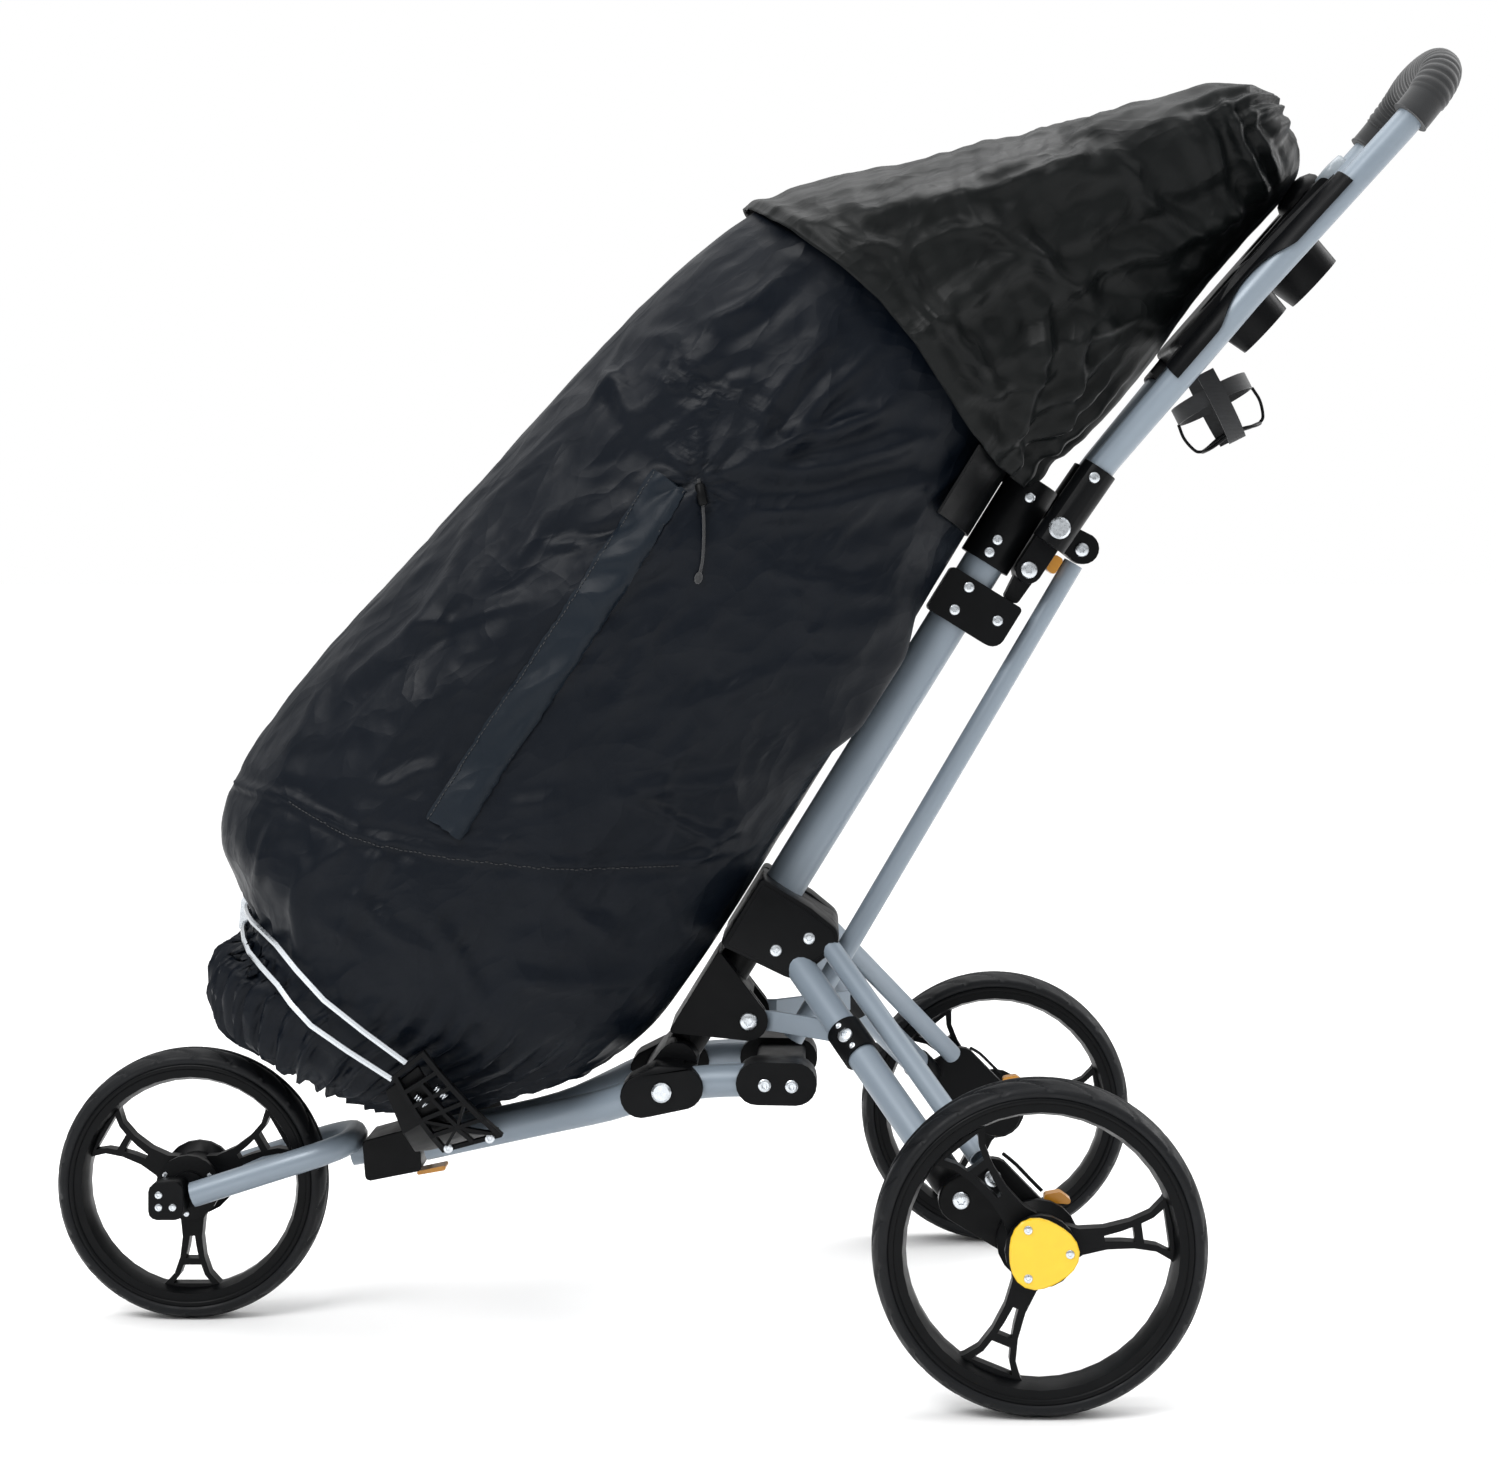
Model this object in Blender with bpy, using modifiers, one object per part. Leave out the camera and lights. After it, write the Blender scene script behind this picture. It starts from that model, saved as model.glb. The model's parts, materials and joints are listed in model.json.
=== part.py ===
"""A three-wheel golf push cart carrying a golf bag under a rain cover. Metres, +Z up.

The front wheel points to -X and the handle leans back to +X. Left is -Y and right is +Y.
The origin is on the floor, under the middle of the bounding box. The column leans back, so
places on it are given as (along, behind): how far up the column from the fold pivot, and how
far behind its axis. Shapes seen from the side are outlines in X and Z, extruded along Y.
"""

import math

import bmesh
import bpy
from mathutils import Matrix, Vector

GAP = 0.0003
SIDES = (("left", -1), ("right", 1))

# Column
LEAN = math.radians(58.25)
FOLD_PIVOT = Vector((-0.078, 0.0, 0.219))
ALONG = Vector((math.cos(LEAN), 0.0, math.sin(LEAN)))
BEHIND = Vector((math.sin(LEAN), 0.0, -math.cos(LEAN)))
COLUMN_RADIUS = 0.019
LOWER_RADIUS = 0.016
COLUMN_WALL = 0.0015
COLUMN_SPAN = (0.135, 0.620)
LOWER_SPAN = (0.026, 0.300)

# Wheels
REAR_RADIUS = 0.135
FRONT_RADIUS = 0.122
REAR_WIDTH = 0.045
FRONT_WIDTH = 0.040
REAR_CENTRE = Vector((0.238, 0.300, REAR_RADIUS))
FRONT_CENTRE = Vector((-0.508, 0.0, FRONT_RADIUS))
TYRE_DEPTH = 0.0145
RIM_DEPTH = 0.0130

# Legs: each is a leg tube and a parallel brace tube between the hub and a wheel bracket
LEG_PIN = Vector((0.0373, 0.0565, 0.3345))
BRACE_PIN = LEG_PIN + Vector((0.026, 0.0, 0.018))
LEG_RUN = Vector((0.139, 0.2055, -0.169))
LEG_REACH = 0.93
LEG_RADIUS = 0.0133
BRACE_RADIUS = 0.0092
COLLAR_REACH = (0.325, 0.435)
LINK_PIN = (0.0863, 0.0351)

# Front frame
FRAME_RADIUS = 0.0147
FRAME_ROUTE = ((-0.2955, 0.0158, 0.1592), (-0.240, 0.0158, 0.1711), (-0.192, 0.0165, 0.1815),
               (-0.160, 0.027, 0.190), (-0.128, 0.052, 0.2015), (-0.102, 0.0655, 0.2120),
               (-0.078, 0.067, 0.2190), (-0.048, 0.067, 0.2240), (-0.020, 0.067, 0.2260),
               (0.010, 0.067, 0.2262), (0.0445, 0.067, 0.2253))
FORK_RADIUS = 0.0112

# Handle
HANDLE_PIVOT = (0.6069, 0.0378)
HANDLE_RADIUS = 0.0125
HANDLE_ROUTE = ((0.2836, 0.0500, 0.7302), (0.3007, 0.0510, 0.7548), (0.3172, 0.0550, 0.7763),
                (0.3334, 0.0620, 0.7958), (0.3857, 0.0870, 0.8580), (0.4080, 0.0950, 0.8845),
                (0.4369, 0.1000, 0.9190), (0.4700, 0.1010, 0.9560), (0.5690, 0.1010, 1.0640),
                (0.5820, 0.1005, 1.0790), (0.5940, 0.0970, 1.0940), (0.6035, 0.0890, 1.1075),
                (0.6090, 0.0760, 1.1175), (0.6112, 0.0580, 1.1235), (0.6118, 0.0300, 1.1262),
                (0.6120, 0.0, 1.1270))
GRIP_FROM = 8
GRIP_RADIUS = 0.0185
STRUT_TOP = (0.590, 0.0696)
STRUT_FOOT = (0.088, 0.0805)
STRUT_RADIUS = 0.0093

# Bag, cover and hood: stations of (front along, front behind, rear along, rear behind, half width,
# and how much narrower the rear is)
COVER_STATIONS = ((-0.166, -0.345, -0.158, -0.185, 0.095, 0.12), (-0.125, -0.388, -0.090, -0.130, 0.122, 0.12),
                  (-0.065, -0.380, -0.030, -0.060, 0.130, 0.12), (-0.030, -0.440, 0.010, -0.042, 0.145, 0.12),
                  (0.000, -0.466, 0.060, -0.032, 0.152, 0.12), (0.060, -0.472, 0.150, -0.030, 0.155, 0.12),
                  (0.280, -0.438, 0.370, -0.030, 0.156, 0.12), (0.470, -0.406, 0.520, -0.030, 0.154, 0.12),
                  (0.653, -0.366, 0.640, -0.030, 0.145, 0.12), (0.700, -0.346, 0.690, -0.032, 0.138, 0.12))
HOOD_STATIONS = ((0.655, -0.376, 0.645, -0.0255, 0.163, 0.12), (0.735, -0.332, 0.715, 0.010, 0.158, 0.16),
                 (0.808, -0.259, 0.775, 0.024, 0.145, 0.24), (0.947, -0.125, 0.920, 0.042, 0.112, 0.36),
                 (1.010, -0.064, 0.975, 0.052, 0.095, 0.38), (1.036, -0.030, 1.005, 0.056, 0.070, 0.38),
                 (1.040, -0.008, 1.022, 0.046, 0.035, 0.38))
BAG_STATIONS = ((-0.150, -0.330, -0.145, -0.200, 0.078, 0.12), (-0.112, -0.362, -0.080, -0.145, 0.104, 0.12),
                (-0.050, -0.364, 0.000, -0.075, 0.114, 0.12), (0.060, -0.372, 0.080, -0.044, 0.122, 0.12),
                (0.560, -0.350, 0.560, -0.044, 0.124, 0.12), (0.695, -0.325, 0.685, -0.046, 0.120, 0.12))
CLOTH = 0.0022


def clear_scene():
    for obj in list(bpy.data.objects):
        bpy.data.objects.remove(obj, do_unlink=True)


def new_collection(name, hidden=False):
    collection = bpy.data.collections.new(name)
    bpy.context.scene.collection.children.link(collection)
    collection.hide_render = hidden
    return collection


def new_material(name, colour, roughness, metallic=0.0):
    material = bpy.data.materials.new(name)
    material.use_nodes = True
    shader = material.node_tree.nodes["Principled BSDF"]
    shader.inputs["Base Color"].default_value = (*colour, 1.0)
    shader.inputs["Roughness"].default_value = roughness
    shader.inputs["Metallic"].default_value = metallic
    return material


def on_column(along, behind, y=0.0):
    return FOLD_PIVOT + ALONG * along + BEHIND * behind + Vector((0.0, y, 0.0))


def side_view(along, behind):
    point = on_column(along, behind)
    return (point.x, point.z)


def smooth_route(points, steps=4):
    """Points on a Catmull-Rom curve through the given ones."""
    ends = [2 * Vector(points[0]) - Vector(points[1])]
    ends += [Vector(p) for p in points]
    ends.append(2 * Vector(points[-1]) - Vector(points[-2]))
    route = []
    for i in range(1, len(ends) - 2):
        a, b, c, d = ends[i - 1:i + 3]
        for k in range(steps):
            t = k / steps
            route.append(0.5 * (2 * b + (c - a) * t + (2 * a - 5 * b + 4 * c - d) * t * t
                                + (3 * b - a - 3 * c + d) * t ** 3))
    route.append(ends[-2])
    return route


def mirrored(points, sign):
    return [Vector((p[0], p[1] * sign, p[2])) for p in points]


def round_hull(circles, segments=20):
    """The outline of a band stretched round circles (x, z, radius)."""
    points = []
    for x, z, radius in circles:
        for k in range(segments):
            angle = 2 * math.pi * k / segments
            points.append((round(x + radius * math.cos(angle), 6), round(z + radius * math.sin(angle), 6)))
    points = sorted(set(points))

    def half(ordered):
        chain = []
        for p in ordered:
            while len(chain) > 1:
                (ax, az), (bx, bz) = chain[-2:]
                if (bx - ax) * (p[1] - az) - (bz - az) * (p[0] - ax) > 1e-10:
                    break
                chain.pop()
            chain.append(p)
        return chain[:-1]

    return half(points) + half(points[::-1])


def add_object(name, data, collection, material=None, matrix=None):
    obj = bpy.data.objects.new(name, data)
    if matrix is not None:
        obj.matrix_world = matrix
    if material is not None:
        data.materials.append(material)
    collection.objects.link(obj)
    if collection is CUTTERS:
        obj.hide_render = True
        obj.display_type = "WIRE"
    return obj


def as_mesh(obj):
    """Replaces a curve object by a mesh object of the same shape, with its caps welded."""
    graph = bpy.context.evaluated_depsgraph_get()
    mesh = bpy.data.meshes.new_from_object(obj.evaluated_get(graph))
    work = bmesh.new()
    work.from_mesh(mesh)
    bmesh.ops.remove_doubles(work, verts=work.verts, dist=0.00001)
    bmesh.ops.recalc_face_normals(work, faces=work.faces)
    work.to_mesh(mesh)
    work.free()
    name = obj.name
    collection = obj.users_collection[0]
    matrix = obj.matrix_world.copy()
    bpy.data.objects.remove(obj, do_unlink=True)
    return add_object(name, mesh, collection, matrix=matrix)


def tube(name, route, radius, material=None, wall=0.0, collection=None, resolution=5):
    """A round bar along a route, or a hollow tube with open ends when it has a wall."""
    curve = bpy.data.curves.new(name, "CURVE")
    curve.dimensions = "3D"
    spline = curve.splines.new("POLY")
    spline.points.add(len(route) - 1)
    for point, place in zip(spline.points, route):
        point.co = (*place, 1.0)
    curve.bevel_depth = radius
    curve.bevel_resolution = resolution
    curve.use_fill_caps = wall == 0.0
    obj = add_object(name, curve, collection or PARTS, material)
    if wall:
        skin = obj.modifiers.new("wall", "SOLIDIFY")
        skin.thickness = wall
        skin.offset = -1.0
    return obj


def plate(name, outline, y_from, y_to, material=None, holes=(), collection=None, edge=0.0):
    """A flat piece: an outline in X and Z, from one Y to another, with holes through it."""
    curve = bpy.data.curves.new(name, "CURVE")
    curve.dimensions = "2D"
    curve.fill_mode = "BOTH"
    curve.extrude = abs(y_to - y_from) / 2
    for ring in (outline, *holes):
        spline = curve.splines.new("POLY")
        spline.points.add(len(ring) - 1)
        spline.use_cyclic_u = True
        for point, (x, z) in zip(spline.points, ring):
            point.co = (x, z, 0.0, 1.0)
    place = Matrix.Translation((0.0, (y_from + y_to) / 2, 0.0)) @ Matrix.Rotation(math.pi / 2, 4, "X")
    obj = add_object(name, curve, collection or PARTS, matrix=place)
    bpy.context.view_layer.update()
    obj = as_mesh(obj)
    if material is not None:
        obj.data.materials.append(material)
    if edge:
        bevel = obj.modifiers.new("edge", "BEVEL")
        bevel.width = edge
        bevel.segments = 1
        bevel.limit_method = "ANGLE"
        bevel.angle_limit = math.radians(50)
    return obj


def cylinder(name, start, end, radius, material=None, collection=None, segments=20, end_radius=None):
    mesh = bpy.data.meshes.new(name)
    axis = Vector(end) - Vector(start)
    work = bmesh.new()
    bmesh.ops.create_cone(work, cap_ends=True, segments=segments, radius1=radius,
                          radius2=end_radius or radius, depth=axis.length)
    work.to_mesh(mesh)
    work.free()
    turn = axis.to_track_quat("Z", "Y").to_matrix().to_4x4()
    place = Matrix.Translation((Vector(start) + Vector(end)) / 2) @ turn
    return add_object(name, mesh, collection or PARTS, material, place)


def turned(name, profile, centre, steps, material=None, collection=None, closed=True):
    """A profile of (radius, y) points turned round the Y axis through the centre."""
    mesh = bpy.data.meshes.new(name)
    count = len(profile)
    edges = [(i, (i + 1) % count) for i in range(count if closed else count - 1)]
    mesh.from_pydata([(radius, 0.0, y) for radius, y in profile], edges, [])
    place = Matrix.Translation(centre) @ Matrix.Rotation(-math.pi / 2, 4, "X")
    obj = add_object(name, mesh, collection or PARTS, material, place)
    screw = obj.modifiers.new("turn", "SCREW")
    screw.axis = "Z"
    screw.steps = steps
    screw.render_steps = steps
    screw.use_merge_vertices = True
    screw.merge_threshold = 0.00005
    return obj


def loft(name, rings, material=None, close_start=True, close_end=True, wall=0.0):
    """A skin through rings of the same number of points."""
    count = len(rings[0])
    mesh = bpy.data.meshes.new(name)
    faces = []
    for i in range(len(rings) - 1):
        for k in range(count):
            n = (k + 1) % count
            faces.append((i * count + k, i * count + n, (i + 1) * count + n, (i + 1) * count + k))
    if close_start:
        faces.append(tuple(range(count))[::-1])
    if close_end:
        faces.append(tuple((len(rings) - 1) * count + k for k in range(count)))
    mesh.from_pydata([tuple(p) for ring in rings for p in ring], [], faces)
    work = bmesh.new()
    work.from_mesh(mesh)
    bmesh.ops.recalc_face_normals(work, faces=work.faces)
    work.to_mesh(mesh)
    work.free()
    obj = add_object(name, mesh, PARTS, material)
    if wall:
        skin = obj.modifiers.new("wall", "SOLIDIFY")
        skin.thickness = wall
        skin.offset = -1.0
    return obj


def combine(obj, other, operation):
    modifier = obj.modifiers.new(operation.lower(), "BOOLEAN")
    modifier.operation = operation
    modifier.solver = "EXACT"
    modifier.object = other
    return obj


def cut(obj, *cutters):
    for cutter in cutters:
        combine(obj, cutter, "DIFFERENCE")
    return obj


def join(obj, *others):
    for other in others:
        combine(obj, other, "UNION")
    return obj


def ribbon(name, stations, material=None, collection=None):
    """A flat strip through (centre, width vector, thickness) stations."""
    rings = []
    for i, (centre, width, thick) in enumerate(stations):
        ahead = Vector(stations[min(i + 1, len(stations) - 1)][0])
        back = Vector(stations[max(i - 1, 0)][0])
        normal = (ahead - back).cross(Vector(width)).normalized() * thick / 2
        half = Vector(width) / 2
        centre = Vector(centre)
        rings.append([centre + half + normal, centre + half - normal,
                      centre - half - normal, centre - half + normal])
    obj = loft(name, rings, material)
    if collection is not None:
        PARTS.objects.unlink(obj)
        collection.objects.link(obj)
        obj.hide_render = True
        obj.display_type = "WIRE"
    return obj


def y_bore(name, centre, radius, half_length=0.12):
    centre = Vector(centre)
    reach = Vector((0.0, half_length, 0.0))
    return cylinder(name, centre - reach, centre + reach, radius, collection=CUTTERS, segments=16)


def bag_ring(station, sides=20, power=2.3):
    """One section of the bag or its cover: rounded, a little narrower towards the column."""
    front_along, front_behind, rear_along, rear_behind, half_width, narrowing = station
    front = on_column(front_along, front_behind)
    rear = on_column(rear_along, rear_behind)
    centre = (front + rear) / 2
    half = (rear - front) / 2
    ring = []
    for k in range(sides):
        angle = 2 * math.pi * k / sides
        c, s = math.cos(angle), math.sin(angle)
        c = math.copysign(abs(c) ** (2 / power), c)
        s = math.copysign(abs(s) ** (2 / power), s)
        ring.append(centre + half * c + Vector((0.0, half_width * s * (1 - narrowing * c), 0.0)))
    return ring


def build_column():
    tube("main_column", [on_column(COLUMN_SPAN[0], 0), on_column(COLUMN_SPAN[1], 0)],
         COLUMN_RADIUS, PAINT, COLUMN_WALL, resolution=8)
    tube("lower_column", [on_column(LOWER_SPAN[0], 0), on_column(LOWER_SPAN[1], 0)],
         LOWER_RADIUS, BLACK_PAINT, COLUMN_WALL, resolution=8)
    column_bore = cylinder("column_bore", on_column(0.03, 0), on_column(0.621, 0),
                           COLUMN_RADIUS + 0.0004, collection=CUTTERS, segments=32)
    lower_bore = cylinder("lower_bore", on_column(LOWER_SPAN[0] - GAP, 0), on_column(0.2, 0),
                          LOWER_RADIUS + GAP, collection=CUTTERS, segments=32)
    pivot_bore = y_bore("fold_bore", FOLD_PIVOT, 0.0045)

    foot = plate("foot_block", round_hull([(*side_view(0, 0), 0.0205), (*side_view(0.022, 0), 0.0182)]),
                 -0.0455, 0.0455, PLASTIC, edge=0.0012)
    cut(foot, lower_bore, pivot_bore)

    gusset = plate("gusset", round_hull([(*side_view(0.122, -0.018), 0.003),
                                         (*side_view(0.0445, -0.018), 0.003),
                                         (*side_view(*LINK_PIN), 0.0175)]),
                   -0.0405, 0.0405, PLASTIC, edge=0.0012)
    slots = []
    for side, sign in SIDES:
        outline = [side_view(0.030, 0.0215), side_view(0.140, 0.0215), side_view(0.140, 0.080),
                   side_view(0.030, 0.080)]
        slots.append(plate(f"link_slot_{side}", outline, sign * 0.0300, sign * 0.0365, collection=CUTTERS))
    middle = plate("gusset_middle", [side_view(0.030, 0.0260), side_view(0.140, 0.0260),
                                     side_view(0.140, 0.080), side_view(0.030, 0.080)],
                   -0.0240, 0.0240, collection=CUTTERS)
    cut(gusset, lower_bore, *slots, middle)

    clamp = plate("column_clamp", round_hull([(*side_view(0.489, -0.0195), 0.004),
                                              (*side_view(0.526, -0.0195), 0.004),
                                              (*side_view(0.526, 0.047), 0.004),
                                              (*side_view(0.497, 0.039), 0.012)]),
                  -0.0255, 0.0255, PLASTIC, edge=0.0012)
    cut(clamp, column_bore)

    cap = cylinder("top_sleeve", on_column(0.548, 0), on_column(0.636, 0), 0.0243, PLASTIC, segments=32)
    cut(cap, column_bore)
    build_cradle()
    build_hinge_arm()
    tube("strut", [on_column(*STRUT_FOOT), on_column(*STRUT_TOP)], STRUT_RADIUS, PAINT, 0.0012)
    bolt("fold_bolt", FOLD_PIVOT, 0.0040, 0.0870, 0.0088)
    bolt("handle_pivot_bolt", on_column(*HANDLE_PIVOT), 0.0048, 0.0677, 0.0098)


def bolt(name, centre, radius, half_length, head_radius):
    """A through-bolt along Y, with a head at one end and a nut at the other."""
    head = 0.0042
    inside = half_length + GAP
    profile = [(0.0, inside + head), (head_radius * 0.8, inside + head), (head_radius, inside + head * 0.6),
               (head_radius, inside), (radius, inside), (radius, -inside), (head_radius, -inside),
               (head_radius, -inside - head * 0.6), (head_radius * 0.8, -inside - head), (0.0, -inside - head)]
    return turned(name, profile, centre, 16, STEEL, closed=False)


def build_cradle():
    """The curved rest behind the top of the bag."""
    radius, thick, half_angle, steps = 0.190, 0.0030, math.radians(36), 12
    rest = COLUMN_RADIUS + 0.0058
    centre = -rest - radius
    rings = []
    for k in range(steps + 1):
        angle = half_angle * (2 * k / steps - 1)
        ring = []
        for along, bulge in ((0.560, 0.0), (0.560, thick), (0.630, thick), (0.630, 0.0)):
            reach = radius - bulge
            ring.append(on_column(along, centre + reach * math.cos(angle), reach * math.sin(angle)))
        rings.append(ring)
    loft("upper_cradle", rings, PLASTIC)


def build_hinge_arm():
    """The arm from the clamp to the handle's pivot, with the ear over the strut's top."""
    pivot = (*side_view(*HANDLE_PIVOT), 0.0123)
    bend = (*side_view(0.562, 0.0366), 0.0120)
    arm = plate("hinge_arm", round_hull([pivot, bend]), -0.0325, 0.0325, PLASTIC, edge=0.0012)
    stem = plate("hinge_stem", round_hull([(*side_view(0.575, 0.0372), 0.0105), (*side_view(0.5345, 0.0345), 0.004),
                                           (*side_view(0.5345, 0.0410), 0.004)]), -0.014, 0.014, collection=CUTTERS)
    ear = plate("strut_ear", round_hull([(*side_view(0.6060, 0.0378), 0.0110), (*side_view(0.6056, 0.0692), 0.0143)]),
                -0.0150, 0.0150, collection=CUTTERS)
    join(arm, stem, ear)
    cut(arm, y_bore("handle_bore", on_column(*HANDLE_PIVOT), 0.0052))
    latch = plate("latch_slider", round_hull([(*side_view(0.5745, 0.0530), 0.003),
                                              (*side_view(0.5745, 0.0568), 0.003),
                                              (*side_view(0.5850, 0.0530), 0.003),
                                              (*side_view(0.5850, 0.0568), 0.003)], 12),
                  -0.012, 0.012, AMBER)
    return latch


def build_hub():
    """The two halves of the sliding hub that the legs hang from."""
    outline = round_hull([(*side_view(0.200, -0.0195), 0.004), (*side_view(0.197, 0.028), 0.006),
                          (BRACE_PIN.x, BRACE_PIN.z, 0.0150), (LEG_PIN.x, LEG_PIN.z, 0.0165),
                          (*side_view(0.136, -0.0195), 0.004)])
    bore = cylinder("hub_bore", on_column(0.05, 0), on_column(0.30, 0), COLUMN_RADIUS + 0.0005,
                    collection=CUTTERS, segments=32)
    for side, sign in SIDES:
        half = plate(f"hub_{side}", outline, sign * 0.0004, sign * 0.0358, PLASTIC, edge=0.0015)
        cut(half, bore)


def build_leg(side, sign):
    leg_pin = Vector((LEG_PIN.x, LEG_PIN.y * sign, LEG_PIN.z))
    brace_pin = Vector((BRACE_PIN.x, BRACE_PIN.y * sign, BRACE_PIN.z))
    run = Vector((LEG_RUN.x, LEG_RUN.y * sign, LEG_RUN.z))
    leg_end = leg_pin + run * LEG_REACH
    tube(f"leg_tube_{side}", [leg_pin, leg_end], LEG_RADIUS, PAINT, 0.0014, resolution=7)
    tube(f"brace_tube_{side}", [brace_pin, brace_pin + run * LEG_REACH], BRACE_RADIUS, PAINT, 0.0012)
    collar = cylinder(f"leg_collar_{side}", leg_pin + run * COLLAR_REACH[0], leg_pin + run * COLLAR_REACH[1],
                      LEG_RADIUS + 0.0030, PLASTIC, segments=28)
    bore = cylinder(f"collar_bore_{side}", leg_pin, leg_end, LEG_RADIUS + GAP, collection=CUTTERS, segments=28)
    cut(collar, bore)

    pin_x, pin_z = side_view(*LINK_PIN)
    front = Vector((pin_x, 0.0333 * sign, pin_z))
    knee = leg_pin + run * 0.37
    rear = Vector((knee.x, 0.098 * sign, knee.z))
    middle = front.lerp(rear, 0.25)
    middle.y = 0.0345 * sign
    height = Vector((0.0, 0.0, 0.0185))
    ribbon(f"leg_link_{side}", [(front + Vector((-0.009, 0.0, 0.0)), height * 0.6, 0.004), (front, height, 0.004),
                                (middle, height, 0.004), (rear, height, 0.004)], PAINT)


def build_wheel_bracket(side, sign):
    leg_end = LEG_PIN + LEG_RUN
    brace_end = BRACE_PIN + LEG_RUN
    outline = round_hull([(leg_end.x, leg_end.z, 0.0185), (brace_end.x, brace_end.z, 0.0160),
                          (REAR_CENTRE.x, REAR_CENTRE.z, 0.0245)])
    bracket = plate(f"wheel_bracket_{side}", outline, sign * 0.2612, sign * 0.2735, PLASTIC, edge=0.0015)
    axle = cylinder(f"stub_axle_{side}", (REAR_CENTRE.x, sign * 0.2690, REAR_CENTRE.z),
                    (REAR_CENTRE.x, sign * 0.3240, REAR_CENTRE.z), 0.0060, collection=CUTTERS, segments=20)
    join(bracket, axle)
    lever = plate(f"brake_lever_{side}", round_hull([(0.2472, 0.1668, 0.0035), (0.2562, 0.1687, 0.0032),
                                                     (0.2632, 0.1645, 0.0024)], 12),
                  sign * 0.2590, sign * 0.2715, AMBER)
    route = smooth_route(mirrored(((0.2115, 0.2560, 0.2000), (0.2210, 0.2640, 0.1935),
                                   (0.2330, 0.2670, 0.1815), (0.2425, 0.2670, 0.1720)), sign), 2)
    tube(f"brake_cable_{side}", route, 0.0016, RUBBER, resolution=2)
    return lever


def spoke_outline(inner, outer, sign):
    """The spoke's edge on one side, as (distance from the axle, half width) points."""
    span = outer - inner
    shape = ((0.00, 0.0150), (0.12, 0.0105), (0.35, 0.0088), (0.60, 0.0110), (0.80, 0.0160),
             (0.92, 0.0240), (1.00, 0.0330))
    return [(inner + span * share, half * sign) for share, half in shape]


def spoke_slots(inner, outer):
    span = outer - inner
    slots = []
    for shape in (((0.34, 0.0022), (0.50, 0.0040), (0.62, 0.0062)), ((0.70, 0.0080), (0.82, 0.0112), (0.93, 0.0175))):
        upper = [(inner + span * share, half) for share, half in shape]
        slots.append(upper + [(a, -b) for a, b in upper[::-1]])
    return slots


def build_wheel(name, centre, radius, width, spoke_angles, hub_span, bore_radius):
    """A tyre, and a rim with its hub barrel and three slotted spokes."""
    half = width / 2
    seat = radius - TYRE_DEPTH
    tyre = [(radius - 0.0100, half - 0.0008), (radius - 0.0035, half - 0.0045), (radius, half * 0.38),
            (radius, -half * 0.38), (radius - 0.0035, -half + 0.0045), (radius - 0.0100, -half + 0.0008),
            (seat, -half + 0.0045), (seat, half - 0.0045)]
    turned(f"{name}_tyre", tyre, centre, 40, RUBBER)
    lip = half - 0.0030
    inner = seat - RIM_DEPTH
    ring = [(seat - GAP, lip), (seat - GAP, -lip), (inner + 0.0035, -lip), (inner, -lip * 0.45),
            (inner, lip * 0.45), (inner + 0.0035, lip)]
    rim = turned(f"{name}_rim", ring, centre, 40, PLASTIC)
    low, high = hub_span
    drum = [(bore_radius, high), (0.0225, high), (0.0335, high - 0.0040), (0.0335, high - 0.0100),
            (0.0250, high - 0.0140), (0.0250, low + 0.0120), (0.0290, low + 0.0090), (0.0290, low + 0.0030),
            (0.0200, low), (bore_radius, low)]
    barrel = turned(f"{name}_barrel", drum, centre, 20, collection=CUTTERS)
    pieces = [barrel]
    for number, degrees in enumerate(spoke_angles):
        turn = math.radians(degrees)
        start, end = 0.0230, inner + 0.0015

        def in_wheel(ring):
            return [(centre.x + a * math.cos(turn) - b * math.sin(turn),
                     centre.z + a * math.sin(turn) + b * math.cos(turn)) for a, b in ring]

        outline = spoke_outline(start, end, 1) + spoke_outline(start, end, -1)[::-1]
        slots = [in_wheel(slot) for slot in spoke_slots(start, end)]
        pieces.append(plate(f"{name}_spoke_{number}", in_wheel(outline), centre.y - 0.0070,
                            centre.y + 0.0070, holes=slots, collection=CUTTERS))
    join(rim, *pieces)
    return rim


def build_hub_cap(side, sign):
    """A cap with three soft corners, over the end of the rear axle."""
    ring = []
    for k in range(24):
        angle = 2 * math.pi * k / 24 + math.radians(18)
        reach = 0.0280 + 0.0020 * math.cos(3 * angle)
        ring.append((REAR_CENTRE.x + reach * math.cos(angle), REAR_CENTRE.z + reach * math.sin(angle)))
    plate(f"hub_cap_{side}", ring, sign * 0.3243, sign * 0.3290, YELLOW, edge=0.0010)


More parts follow.
